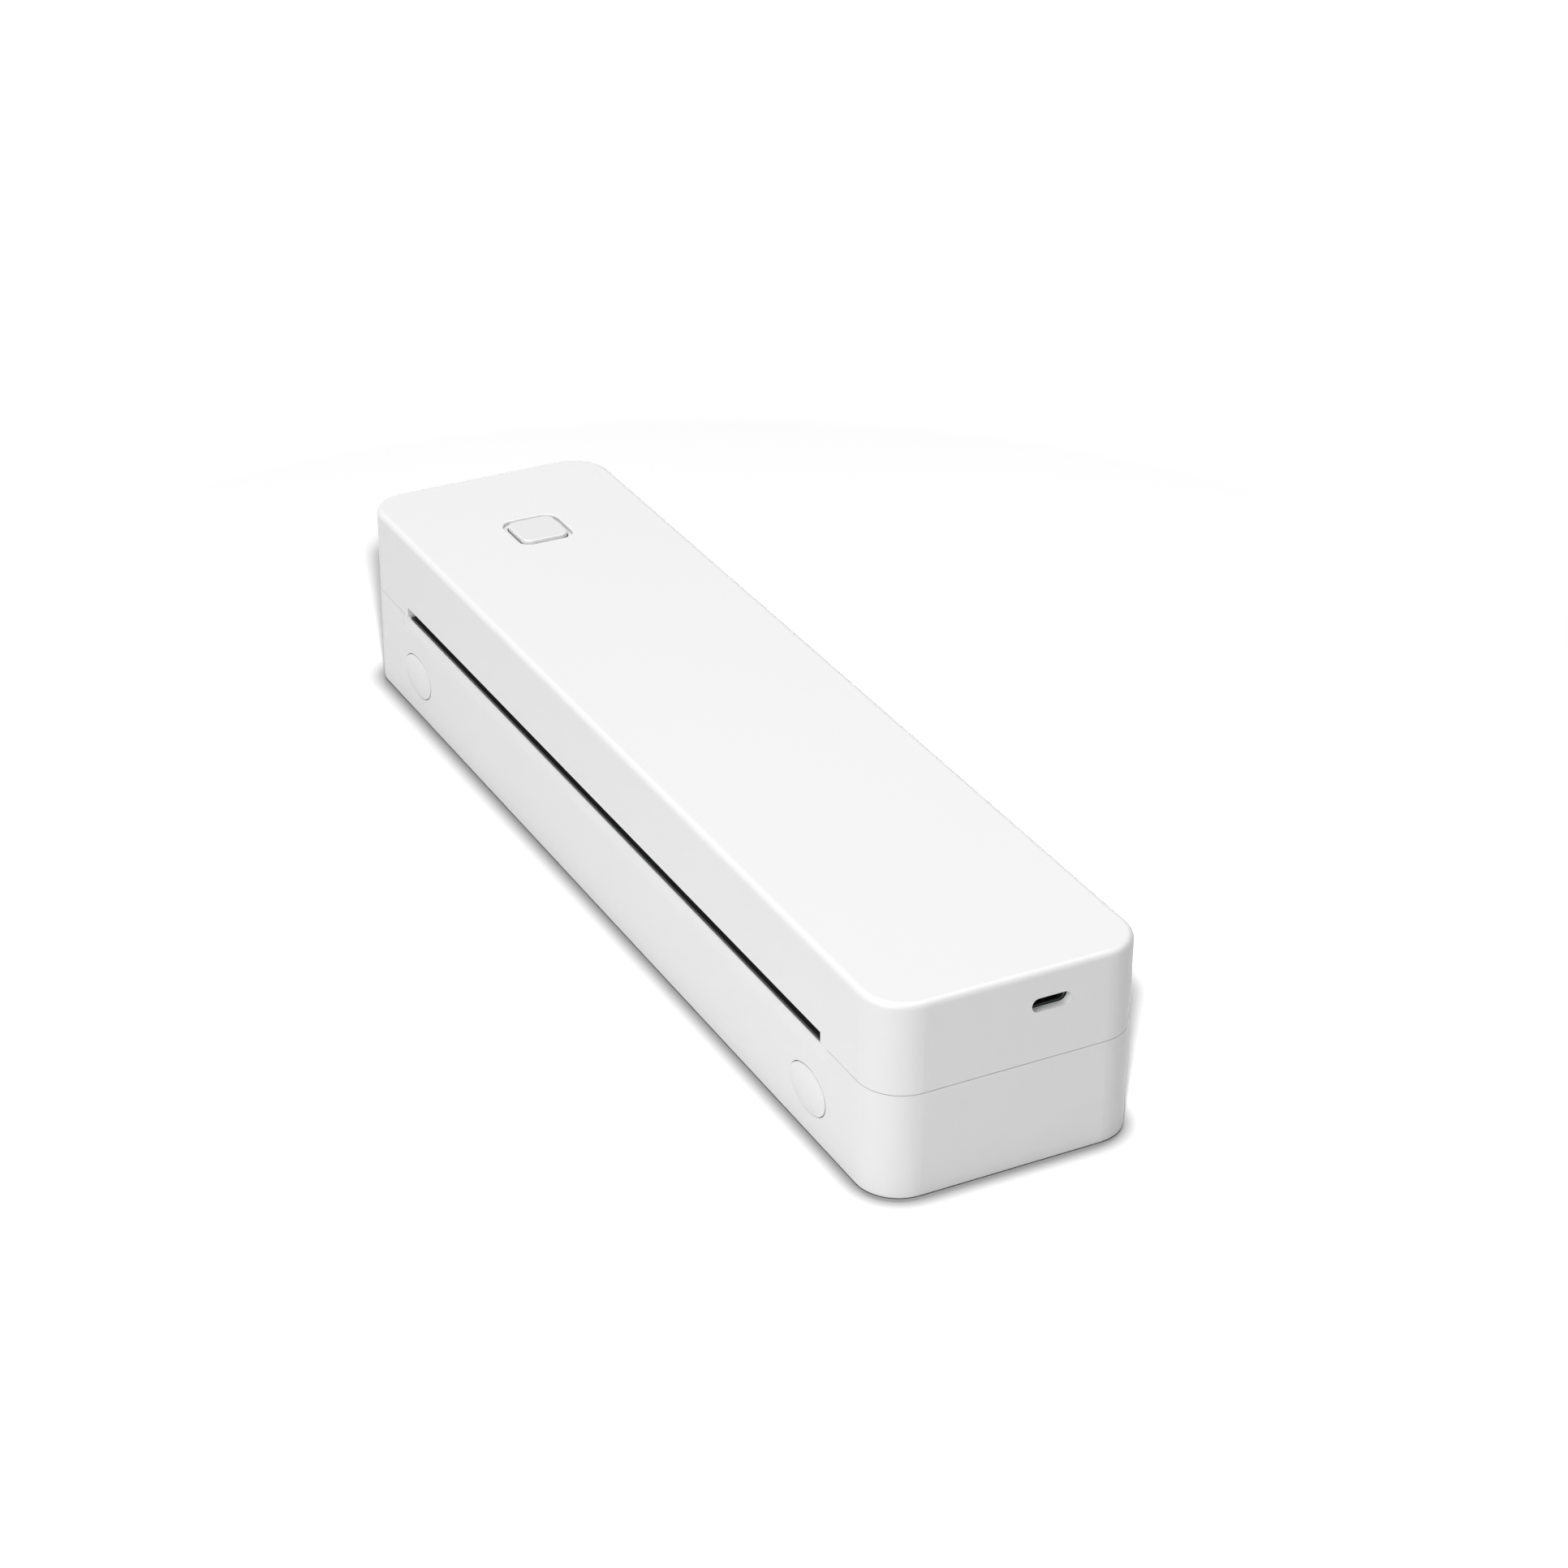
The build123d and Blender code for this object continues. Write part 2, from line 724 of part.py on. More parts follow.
# Feed roller
with BuildPart() as platen_rubber:
    with BuildSketch(Plane.YZ):
        with Locations((platen_y, platen_z)):
            Circle(platen_radius)
            Circle(platen_core_radius, mode=Mode.SUBTRACT)
    extrude(amount=platen_half_length, both=True)

platen_rubber.part.label = "platen_rubber"
export_step(platen_rubber.part, "parts/platen_rubber.step")

with BuildPart() as platen_shaft:
    with BuildSketch(Plane.YZ):
        with Locations((platen_y, platen_z)):
            Circle(platen_core_radius)
    extrude(amount=platen_half_length + platen_core_overhang, both=True)
    with BuildSketch(Plane.YZ.offset(-inner_gear_end)):
        with Locations((platen_y, platen_z)):
            Circle(journal_radius)
    extrude(amount=inner_gear_end + inner_gear_start)

platen_shaft.part.label = "platen_shaft"
export_step(platen_shaft.part, "parts/platen_shaft.step")

with BuildPart() as platen_bushes:
    for side in (-1, 1):
        with BuildSketch(Plane.YZ.offset(side * post_inner_x)):
            with Locations((platen_y, platen_z)):
                Circle(bush_radius)
                Circle(journal_radius + running_clearance, mode=Mode.SUBTRACT)
        extrude(amount=side * post_thickness)
        with BuildSketch(Plane.YZ.offset(side * post_outer_x)):
            with Locations((platen_y, platen_z)):
                Circle(bush_flange_radius)
                Circle(journal_radius + running_clearance, mode=Mode.SUBTRACT)
        extrude(amount=side * bush_flange_thickness)

platen_bushes.part.label = "platen_bushes"
export_step(platen_bushes.part, "parts/platen_bushes.step")

# Gear train
with BuildPart() as platen_gear:
    with BuildSketch(Plane.YZ.offset(-inner_gear_end)):
        with Locations((platen_y, platen_z)):
            Polygon(*gear_outline(platen_teeth, to_idler), align=None)
            Circle(journal_radius, mode=Mode.SUBTRACT)
    extrude(amount=inner_gear_width)

platen_gear.part.label = "platen_gear"
export_step(platen_gear.part, "parts/platen_gear.step")

with BuildPart() as idler_gear:
    with BuildSketch(Plane.YZ.offset(-inner_gear_end)):
        with Locations((idler_y, idler_z)):
            Polygon(*gear_outline(idler_small_teeth, to_idler + 180 + 180 / idler_small_teeth), align=None)
    extrude(amount=inner_gear_width)
    with BuildSketch(Plane.YZ.offset(-outer_gear_start)):
        with Locations((idler_y, idler_z)):
            Circle(idler_small_pitch_radius - tooth_module)
    extrude(amount=outer_gear_gap)
    with BuildSketch(Plane.YZ.offset(-outer_gear_end)):
        with Locations((idler_y, idler_z)):
            Polygon(*gear_outline(idler_large_teeth, to_motor), align=None)
    extrude(amount=outer_gear_width)
    with BuildSketch(Plane.YZ.offset(-outer_gear_end)):
        with Locations((idler_y, idler_z)):
            Circle(stub_radius + running_clearance)
    extrude(amount=outer_gear_end - inner_gear_start, mode=Mode.SUBTRACT)

idler_gear.part.label = "idler_gear"
export_step(idler_gear.part, "parts/idler_gear.step")

with BuildPart() as idler_shaft:
    with BuildSketch(Plane.YZ.offset(-motor_face_x)):
        with Locations((idler_y, idler_z)):
            Circle(stub_radius)
    extrude(amount=-(outer_gear_end + loose_clearance - motor_face_x))
    with BuildSketch(Plane.YZ.offset(-outer_gear_end - loose_clearance)):
        with Locations((idler_y, idler_z)):
            Circle(stub_head_radius)
    extrude(amount=-stub_head_thickness)

idler_shaft.part.label = "idler_shaft"
export_step(idler_shaft.part, "parts/idler_shaft.step")

with BuildPart() as motor_pinion:
    with BuildSketch(Plane.YZ.offset(-outer_gear_end)):
        with Locations((motor_y, motor_z)):
            Polygon(*gear_outline(pinion_teeth, to_motor + 180 + 180 / pinion_teeth), align=None)
            Circle(motor_shaft_radius, mode=Mode.SUBTRACT)
    extrude(amount=outer_gear_width)

motor_pinion.part.label = "motor_pinion"
export_step(motor_pinion.part, "parts/motor_pinion.step")

with BuildPart() as motor_shaft:
    with BuildSketch(Plane.YZ.offset(-outer_gear_end)):
        with Locations((motor_y, motor_z)):
            Circle(motor_shaft_radius)
    extrude(amount=outer_gear_end - motor_face_x + motor_shaft_depth)

motor_shaft.part.label = "motor_shaft"
export_step(motor_shaft.part, "parts/motor_shaft.step")

with BuildPart() as motor_can:
    with BuildSketch(Plane.YZ.offset(-motor_face_x)):
        with Locations((motor_y, motor_z)):
            Circle(motor_radius)
    extrude(amount=motor_length)
    chamfer(motor_can.edges().filter_by(GeomType.CIRCLE), motor_edge)
    with BuildSketch(Plane.YZ.offset(-motor_face_x)):
        with Locations((motor_y, motor_z)):
            Circle(motor_shaft_radius + running_clearance)
    extrude(amount=motor_shaft_depth + loose_clearance, mode=Mode.SUBTRACT)
    with BuildSketch(Plane.YZ.offset(-motor_face_x)):
        with Locations((motor_y, motor_z)):
            with GridLocations(1, motor_screw_pitch, 1, 2):
                Circle(screw_shank_radius)
    extrude(amount=screw_shank_length - bracket_thickness, mode=Mode.SUBTRACT)

motor_can.part.label = "motor_can"
export_step(motor_can.part, "parts/motor_can.step")

with BuildPart() as motor_bracket:
    with BuildSketch(Plane.YZ.offset(-bracket_face_x)):
        with Locations((bracket_y, (plinth_z + bracket_top_z) / 2)):
            Rectangle(bracket_depth, bracket_top_z - plinth_z)
        with Locations((idler_y, idler_z)):
            Circle(stub_radius, mode=Mode.SUBTRACT)
        with Locations((motor_y, motor_z)):
            Circle(motor_shaft_hole_radius, mode=Mode.SUBTRACT)
            with GridLocations(1, motor_screw_pitch, 1, 2):
                Circle(screw_shank_radius + hole_clearance, mode=Mode.SUBTRACT)
    extrude(amount=bracket_thickness)
    with BuildSketch(Plane.XY.offset(plinth_z)):
        with Locations((bracket_foot_x, bracket_y)):
            Rectangle(bracket_foot_reach, bracket_depth)
        with Locations((bracket_screw_x, bracket_y)):
            with GridLocations(1, bracket_screw_spacing, 1, 2):
                Circle(screw_shank_radius + hole_clearance, mode=Mode.SUBTRACT)
    extrude(amount=bracket_foot_thickness)

motor_bracket.part.label = "motor_bracket"
export_step(motor_bracket.part, "parts/motor_bracket.step")

# Battery
with BuildPart() as battery_holder:
    with BuildSketch(Plane.XY.offset(cavity_z)):
        with Locations((0, battery_y)):
            Rectangle(2 * holder_half_length, holder_depth)
    extrude(amount=holder_height)
    with BuildSketch(Plane.XY.offset(holder_floor_z)):
        with Locations((0, battery_y)):
            Rectangle(2 * (holder_half_length - holder_wall), holder_depth - 2 * holder_wall)
    extrude(amount=holder_height, mode=Mode.SUBTRACT)
    with BuildSketch(Plane.XY.offset(cavity_z)):
        with Locations((-ear_x, battery_y), (ear_x, battery_y)):
            Rectangle(holder_ear_length, holder_ear_width)
            Circle(screw_shank_radius + hole_clearance, mode=Mode.SUBTRACT)
    extrude(amount=holder_ear_thickness)

battery_holder.part.label = "battery_holder"
export_step(battery_holder.part, "parts/battery_holder.step")

with BuildPart() as battery_cells:
    for start_x in (-cells_half_length, cell_gap / 2):
        with BuildSketch(Plane.YZ.offset(start_x)):
            with Locations((battery_y, battery_z)):
                Circle(cell_radius)
        extrude(amount=cell_length - cell_nub_height)
    chamfer(battery_cells.edges().filter_by(GeomType.CIRCLE), cell_edge)
    for start_x in (-cells_half_length, cell_gap / 2):
        with BuildSketch(Plane.YZ.offset(start_x + cell_length - cell_nub_height)):
            with Locations((battery_y, battery_z)):
                Circle(cell_nub_radius)
        extrude(amount=cell_nub_height)

battery_cells.part.label = "battery_cells"
export_step(battery_cells.part, "parts/battery_cells.step")

with BuildPart() as battery_contacts:
    for start_x in (-cells_half_length - contact_thickness, cells_half_length):
        with BuildSketch(Plane.YZ.offset(start_x)):
            with Locations((battery_y, battery_z)):
                RectangleRounded(contact_size, contact_size, contact_thickness)
        extrude(amount=contact_thickness)

battery_contacts.part.label = "battery_contacts"
export_step(battery_contacts.part, "parts/battery_contacts.step")

# Pan-head screws of bracket, motor and battery holder
with BuildPart() as frame_screws:
    for offset_y in (-bracket_screw_spacing / 2, bracket_screw_spacing / 2):
        seat = (bracket_screw_x, bracket_y + offset_y, plinth_z + bracket_foot_thickness)
        add_screw(seat, (0, 0, 1), screw_shank_length)
    for ear in (-ear_x, ear_x):
        add_screw((ear, battery_y, cavity_z + holder_ear_thickness), (0, 0, 1), screw_shank_length)
    for offset_z in (-motor_screw_pitch / 2, motor_screw_pitch / 2):
        add_screw((-bracket_face_x, motor_y, motor_z + offset_z), (-1, 0, 0), screw_shank_length)

frame_screws.part.label = "frame_screws"
export_step(frame_screws.part, "parts/frame_screws.step")


# Release buttons
with BuildPart() as release_button_right:
    add_release(1)

release_button_right.part.label = "release_button_right"
export_step(release_button_right.part, "parts/release_button_right.step")

with BuildPart() as release_button_left:
    add_release(-1)

release_button_left.part.label = "release_button_left"
export_step(release_button_left.part, "parts/release_button_left.step")

# Return springs of the release buttons
coil_start_y = flange_rear_y + release_wire_radius
coil_height = spring_wall_y - flange_rear_y - 2 * release_wire_radius
with BuildPart() as release_spring_right:
    add_coil(
        (button_x, coil_start_y, button_z),
        (0, 1, 0),
        release_coil_radius,
        release_wire_radius,
        coil_height,
        release_turns,
    )

release_spring_right.part.label = "release_spring_right"
export_step(release_spring_right.part, "parts/release_spring_right.step")

with BuildPart() as release_spring_left:
    add_coil(
        (-button_x, coil_start_y, button_z),
        (0, 1, 0),
        release_coil_radius,
        release_wire_radius,
        coil_height,
        release_turns,
    )

release_spring_left.part.label = "release_spring_left"
export_step(release_spring_left.part, "parts/release_spring_left.step")

# Hinge pins
with BuildPart() as hinge_pins:
    for start_x in (ear_inner_x, -hinge_end_x):
        with BuildSketch(Plane.YZ.offset(start_x)):
            with Locations((hinge_y, rim_z)):
                Circle(hinge_pin_radius)
        extrude(amount=hinge_end_x - ear_inner_x)

hinge_pins.part.label = "hinge_pins"
export_step(hinge_pins.part, "parts/hinge_pins.step")

# Upper housing
with BuildPart() as upper_shell:
    with BuildSketch(Plane.XY.offset(cover_rim_z)):
        RectangleRounded(length, depth, corner_radius)
    extrude(amount=top_z - cover_rim_z)
    fillet(upper_shell.faces().sort_by(Axis.Z)[-1].edges(), roof_round)
    with BuildSketch(Plane.XY.offset(cover_rim_z)):
        RectangleRounded(inner_length, inner_depth, inner_radius)
    extrude(amount=roof_z - cover_rim_z, mode=Mode.SUBTRACT)

    # Paper slot in the lower edge of the front wall.
    with BuildSketch(Plane.XZ.offset(-front_inner_y)):
        with Locations((0, rim_z)):
            Rectangle(slot_width, slot_height, align=(Align.CENTER, Align.MIN))
    extrude(amount=wall, mode=Mode.SUBTRACT)

    # Sheet inlet under the rear wall, which also clears the hinge.
    with BuildSketch(Plane.XZ.offset(-rear_y)):
        with Locations((0, rim_z)):
            Rectangle(2 * inlet_half_width, inlet_top_z - rim_z, align=(Align.CENTER, Align.MIN))
    extrude(amount=rear_y - hinge_y + running_clearance, mode=Mode.SUBTRACT)
    with BuildSketch(Plane.XZ.offset(-rear_y)):
        with Locations((0, rim_z)):
            Rectangle(2 * hinge_end_x, inlet_top_z - rim_z, align=(Align.CENTER, Align.MIN))
    extrude(amount=wall, mode=Mode.SUBTRACT)

    # Hinge knuckles on webs from the rear wall.
    for web_x_start in (knuckle_inner_x, -knuckle_inner_x - knuckle_width):
        with BuildSketch(Plane.YZ.offset(web_x_start)):
            with Locations((hinge_y, rim_z)):
                Circle(knuckle_radius)
            with Locations((hinge_y, rim_z)):
                Rectangle(2 * knuckle_radius, gusset_top_z - rim_z, align=(Align.CENTER, Align.MIN))
            with Locations((hinge_y, rim_z)):
                Circle(hinge_pin_radius + running_clearance, mode=Mode.SUBTRACT)
        extrude(amount=knuckle_width)

    # Ledges the release hooks catch.
    for side in (-1, 1):
        with BuildSketch(Plane.XY.offset(strike_bottom_z)):
            with Locations((side * (hook_inner_x + hook_outer_x) / 2, front_inner_y)):
                Rectangle(
                    hook_outer_x - hook_inner_x + 2 * strike_margin,
                    strike_reach,
                    align=(Align.CENTER, Align.MIN),
                )
        extrude(amount=strike_height)

    # Bosses for the guide, the print head's bridge and the board.
    with BuildSketch(Plane.XY.offset(guide_flange_top_z)):
        for boss_x in (-guide_boss_x, guide_boss_x):
            with Locations((boss_x, guide_boss_front_y), (boss_x, guide_boss_rear_y)):
                Circle(boss_radius)
    extrude(amount=roof_z - guide_flange_top_z)
    with BuildSketch(Plane.XY.offset(guide_flange_top_z)):
        for boss_x in (-guide_boss_x, guide_boss_x):
            with Locations((boss_x, guide_boss_front_y), (boss_x, guide_boss_rear_y)):
                Circle(screw_shank_radius)
    extrude(amount=guide_screw_length - guide_thickness, mode=Mode.SUBTRACT)
    with BuildSketch(Plane.XY.offset(head_bracket_z + head_bracket_thickness)):
        with Locations((-head_boss_x, platen_y), (0, platen_y), (head_boss_x, platen_y)):
            Circle(boss_radius)
    extrude(amount=roof_z - head_bracket_z - head_bracket_thickness)
    with BuildSketch(Plane.XY.offset(head_bracket_z + head_bracket_thickness)):
        with Locations((-head_boss_x, platen_y), (0, platen_y), (head_boss_x, platen_y)):
            Circle(screw_shank_radius)
    extrude(amount=screw_shank_length - head_bracket_thickness, mode=Mode.SUBTRACT)
    with BuildSketch(Plane.XY.offset(board_top_z)):
        with Locations((0, board_boss_y)):
            with GridLocations(board_boss_spacing, 1, 4, 1):
                Circle(board_boss_radius)
    extrude(amount=roof_z - board_top_z)
    with BuildSketch(Plane.XY.offset(board_top_z)):
        with Locations((0, board_boss_y)):
            with GridLocations(board_boss_spacing, 1, 4, 1):
                Circle(screw_shank_radius)
    extrude(amount=board_screw_length - board_thickness, mode=Mode.SUBTRACT)

    # Square recess and opening of the power button.
    with BuildSketch(Plane.XY.offset(power_recess_z)):
        with Locations((power_x, power_y)):
            RectangleRounded(power_opening, power_opening, power_opening_radius)
    extrude(amount=power_opening_depth, mode=Mode.SUBTRACT)
    opening_edges = upper_shell.edges().filter_by_position(
        Axis.Z, top_z - running_clearance, top_z + running_clearance
    )
    opening_edges = opening_edges.filter_by_position(
        Axis.X, power_x - power_opening, power_x + power_opening
    )
    opening_edges = opening_edges.filter_by_position(
        Axis.Y, power_y - power_opening, power_y + power_opening
    )
    fillet(opening_edges, power_opening_edge)
    with BuildSketch(Plane.XY.offset(roof_z)):
        with Locations((power_x, power_y)):
            RectangleRounded(
                power_cap + 2 * power_gap,
                power_cap + 2 * power_gap,
                power_cap_radius + power_gap,
            )
    extrude(amount=power_recess_z - roof_z, mode=Mode.SUBTRACT)

    # Opening of the port in the end wall.
    with BuildSketch(Plane.YZ.offset(length / 2)):
        with Locations((port_y, port_z)):
            SlotOverall(port_opening_width, port_opening_height)
    extrude(amount=-wall, mode=Mode.SUBTRACT)

upper_shell.part.label = "upper_shell"
export_step(upper_shell.part, "parts/upper_shell.step")

# Inner guide that closes the cover from below
with BuildPart() as paper_guide:
    with BuildSketch(Plane.XY.offset(guide_z)):
        Rectangle(guide_width, inner_depth - 2 * loose_clearance)
        with Locations((0, platen_y)):
            Rectangle(
                2 * (head_half_length + guide_window_margin),
                heatsink_depth + 2 * guide_window_margin,
                mode=Mode.SUBTRACT,
            )
        with Locations((sensor_x, front_inner_y + sensor_edge + sensor_depth / 2)):
            Rectangle(sensor_width, sensor_depth, mode=Mode.SUBTRACT)
    extrude(amount=guide_thickness)
    for side in (-1, 1):
        with BuildSketch(Plane.XY.offset(guide_z)):
            with Locations((side * (guide_width - guide_thickness) / 2, 0)):
                Rectangle(guide_thickness, inner_depth - 2 * loose_clearance)
        extrude(amount=guide_flange_top_z - guide_z)
    with BuildSketch(Plane.XY.offset(guide_flange_z)):
        RectangleRounded(
            inner_length - 2 * loose_clearance,
            inner_depth - 2 * loose_clearance,
            inner_radius - loose_clearance,
        )
        Rectangle(guide_width - guide_thickness, depth, mode=Mode.SUBTRACT)
        for boss_x in (-guide_boss_x, guide_boss_x):
            with Locations((boss_x, guide_boss_front_y), (boss_x, guide_boss_rear_y)):
                Circle(screw_shank_radius + hole_clearance, mode=Mode.SUBTRACT)
    extrude(amount=guide_thickness)

paper_guide.part.label = "paper_guide"
export_step(paper_guide.part, "parts/paper_guide.step")

with BuildPart() as guide_screws:
    for boss_x in (-guide_boss_x, guide_boss_x):
        for boss_y in (guide_boss_front_y, guide_boss_rear_y):
            add_screw((boss_x, boss_y, guide_flange_z), (0, 0, -1), guide_screw_length)

guide_screws.part.label = "guide_screws"
export_step(guide_screws.part, "parts/guide_screws.step")

# Print head
with BuildPart() as head_heatsink:
    with BuildSketch(Plane.YZ):
        with Locations((platen_y, heatsink_bottom_z)):
            Rectangle(heatsink_depth, heatsink_height, align=(Align.CENTER, Align.MIN))
        with Locations((platen_y, heatsink_top_z)):
            with GridLocations(2 * heatsink_groove_spacing, 1, 2, 1):
                Rectangle(
                    heatsink_groove,
                    heatsink_groove_depth,
                    align=(Align.CENTER, Align.MAX),
                    mode=Mode.SUBTRACT,
                )
    extrude(amount=head_half_length, both=True)

head_heatsink.part.label = "head_heatsink"
export_step(head_heatsink.part, "parts/head_heatsink.step")

with BuildPart() as head_strip:
    with BuildSketch(Plane.YZ):
        with Locations((platen_y, heatsink_bottom_z)):
            Rectangle(strip_depth, strip_thickness, align=(Align.CENTER, Align.MAX))
            Rectangle(heater_width, strip_thickness + heater_height, align=(Align.CENTER, Align.MAX))
    extrude(amount=head_half_length, both=True)

head_strip.part.label = "head_strip"
export_step(head_strip.part, "parts/head_strip.step")

with BuildPart() as head_pins:
    clip_z = head_bracket_z + head_bracket_thickness + loose_clearance
    with BuildSketch(Plane.XY.offset(heatsink_top_z)):
        with Locations((-head_pin_x, platen_y), (head_pin_x, platen_y)):
            Circle(head_pin_radius)
    extrude(amount=head_pin_top_z - heatsink_top_z)
    with BuildSketch(Plane.XY.offset(clip_z)):
        with Locations((-head_pin_x, platen_y), (head_pin_x, platen_y)):
            Circle(head_clip_radius)
    extrude(amount=head_clip_thickness)

head_pins.part.label = "head_pins"
export_step(head_pins.part, "parts/head_pins.step")

with BuildPart() as head_bracket:
    with BuildSketch(Plane.XY.offset(head_bracket_z)):
        with Locations((0, platen_y)):
            Rectangle(head_bracket_length, head_bracket_depth)
        with Locations((-head_pin_x, platen_y), (head_pin_x, platen_y)):
            Circle(head_pin_radius + running_clearance, mode=Mode.SUBTRACT)
        with Locations((-head_boss_x, platen_y), (0, platen_y), (head_boss_x, platen_y)):
            Circle(screw_shank_radius + hole_clearance, mode=Mode.SUBTRACT)
    extrude(amount=head_bracket_thickness)
    bracket_edge_y = (head_bracket_depth - head_bracket_thickness) / 2
    with BuildSketch(Plane.XY.offset(head_bracket_z)):
        with Locations((0, platen_y - bracket_edge_y), (0, platen_y + bracket_edge_y)):
            Rectangle(head_bracket_length, head_bracket_thickness)
    extrude(amount=-head_bracket_flange)

head_bracket.part.label = "head_bracket"
export_step(head_bracket.part, "parts/head_bracket.step")

with BuildPart() as head_screws:
    for boss_x in (-head_boss_x, 0, head_boss_x):
        add_screw((boss_x, platen_y, head_bracket_z), (0, 0, -1), screw_shank_length)

head_screws.part.label = "head_screws"
export_step(head_screws.part, "parts/head_screws.step")

with BuildPart() as head_springs:
    for spring_x in (-head_spring_outer_x, -head_spring_x, head_spring_x, head_spring_outer_x):
        add_coil(
            (spring_x, platen_y, heatsink_top_z + head_wire_radius),
            (0, 0, 1),
            head_coil_radius,
            head_wire_radius,
            head_bracket_z - heatsink_top_z - 2 * head_wire_radius,
            head_turns,
        )

head_springs.part.label = "head_springs"
export_step(head_springs.part, "parts/head_springs.step")

# Circuit board
with BuildPart() as main_board:
    board_length = board_right_x - board_left_x
    with BuildSketch(Plane.XY.offset(board_bottom_z)):
        with Locations(((board_left_x + board_right_x) / 2, board_front_y)):
            Rectangle(board_length, board_depth, align=(Align.CENTER, Align.MIN))
        with Locations((0, board_boss_y)):
            with GridLocations(board_boss_spacing, 1, 4, 1):
                Circle(screw_shank_radius + hole_clearance, mode=Mode.SUBTRACT)
    extrude(amount=board_thickness)

main_board.part.label = "main_board"
export_step(main_board.part, "parts/main_board.step")

with BuildPart() as board_screws:
    for step in (-1.5, -0.5, 0.5, 1.5):
        add_screw((step * board_boss_spacing, board_boss_y, board_bottom_z), (0, 0, -1), board_screw_length)

board_screws.part.label = "board_screws"
export_step(board_screws.part, "parts/board_screws.step")

with BuildPart() as board_chips:
    for chip_x, chip_size in (
        (0, main_chip),
        (driver_chip_x, driver_chip),
        (-radio_chip_x, radio_chip),
        (length / 2 - charger_chip_setback, charger_chip),
    ):
        add_tab((chip_x, chip_row_y, board_top_z), (chip_size, chip_size, chip_height))

board_chips.part.label = "board_chips"
export_step(board_chips.part, "parts/board_chips.step")

with BuildPart() as board_capacitors:
    with BuildSketch(Plane.XY.offset(board_top_z)):
        for capacitor in (-capacitor_x, capacitor_x, supply_capacitor_x):
            with Locations((capacitor, capacitor_row_y)):
                Circle(capacitor_radius)
    extrude(amount=capacitor_height)

board_capacitors.part.label = "board_capacitors"
export_step(board_capacitors.part, "parts/board_capacitors.step")

with BuildPart() as ribbon_sockets:
    for socket_x in (-ribbon_x, ribbon_x):
        add_tab(
            (socket_x, board_front_y + socket_depth / 2, board_top_z),
            (socket_length, socket_depth, socket_height),
        )

ribbon_sockets.part.label = "ribbon_sockets"
export_step(ribbon_sockets.part, "parts/ribbon_sockets.step")

with BuildPart() as head_ribbons:
    ribbon_y = platen_y + heatsink_depth / 2 + hole_clearance
    entry_z = board_top_z + socket_height / 2
    for middle_x in (-ribbon_x, ribbon_x):
        with BuildLine(Plane.YZ.offset(middle_x)) as ribbon_path:
            FilletPolyline(
                (ribbon_y + ribbon_thickness / 2, ribbon_start_z),
                (ribbon_y + ribbon_thickness / 2, entry_z),
                (board_front_y, entry_z),
                radius=ribbon_bend,
            )
        with BuildSketch(Plane.XY.offset(ribbon_start_z)):
            with Locations((middle_x, ribbon_y + ribbon_thickness / 2)):
                Rectangle(ribbon_width, ribbon_thickness)
        sweep(path=ribbon_path.line)

head_ribbons.part.label = "head_ribbons"
export_step(head_ribbons.part, "parts/head_ribbons.step")

with BuildPart() as paper_sensor:
    add_tab(
        (sensor_x, front_inner_y + sensor_edge + sensor_depth / 2, guide_z),
        (sensor_width, sensor_depth, sensor_height),
    )

paper_sensor.part.label = "paper_sensor"
export_step(paper_sensor.part, "parts/paper_sensor.step")

# Port
with BuildPart() as usb_shell:
    with BuildSketch(Plane.YZ.offset(port_front_x)):
        with Locations((port_y, port_z)):
            SlotOverall(port_shell_width, port_shell_height)
    extrude(amount=-port_shell_length)
    with BuildSketch(Plane.YZ.offset(port_front_x)):
        with Locations((port_y, port_z)):
            SlotOverall(
                port_shell_width - 2 * port_shell_thickness,
                port_shell_height - 2 * port_shell_thickness,
            )
    extrude(amount=-port_shell_length, mode=Mode.SUBTRACT)

usb_shell.part.label = "usb_shell"
export_step(usb_shell.part, "parts/usb_shell.step")

with BuildPart() as usb_tongue:
    with BuildSketch(Plane.YZ.offset(port_front_x - port_shell_length)):
        with Locations((port_y, port_z)):
            SlotOverall(
                port_shell_width - 2 * port_shell_thickness,
                port_shell_height - 2 * port_shell_thickness,
            )
    extrude(amount=port_back_thickness)
    with BuildSketch(Plane.YZ.offset(port_front_x - port_shell_length)):
        with Locations((port_y, port_z)):
            Rectangle(tongue_width, tongue_thickness)
    extrude(amount=port_back_thickness + tongue_length)

usb_tongue.part.label = "usb_tongue"
export_step(usb_tongue.part, "parts/usb_tongue.step")

# Power button and its switch
with BuildPart() as switch_body:
    add_tab((power_x, power_y, board_top_z), (switch_size, switch_size, switch_height))
    with BuildSketch(Plane.XY.offset(switch_top_z)):
        with Locations((power_x, power_y)):
            Circle(switch_plunger_radius + running_clearance)
    extrude(amount=-(switch_plunger_depth + switch_plunger_sink), mode=Mode.SUBTRACT)

switch_body.part.label = "switch_body"
export_step(switch_body.part, "parts/switch_body.step")

with BuildPart() as switch_plunger:
    with BuildSketch(Plane.XY.offset(switch_top_z - switch_plunger_depth)):
        with Locations((power_x, power_y)):
            Circle(switch_plunger_radius)
    extrude(amount=switch_plunger_depth + switch_plunger_rise)

switch_plunger.part.label = "switch_plunger"
export_step(switch_plunger.part, "parts/switch_plunger.step")

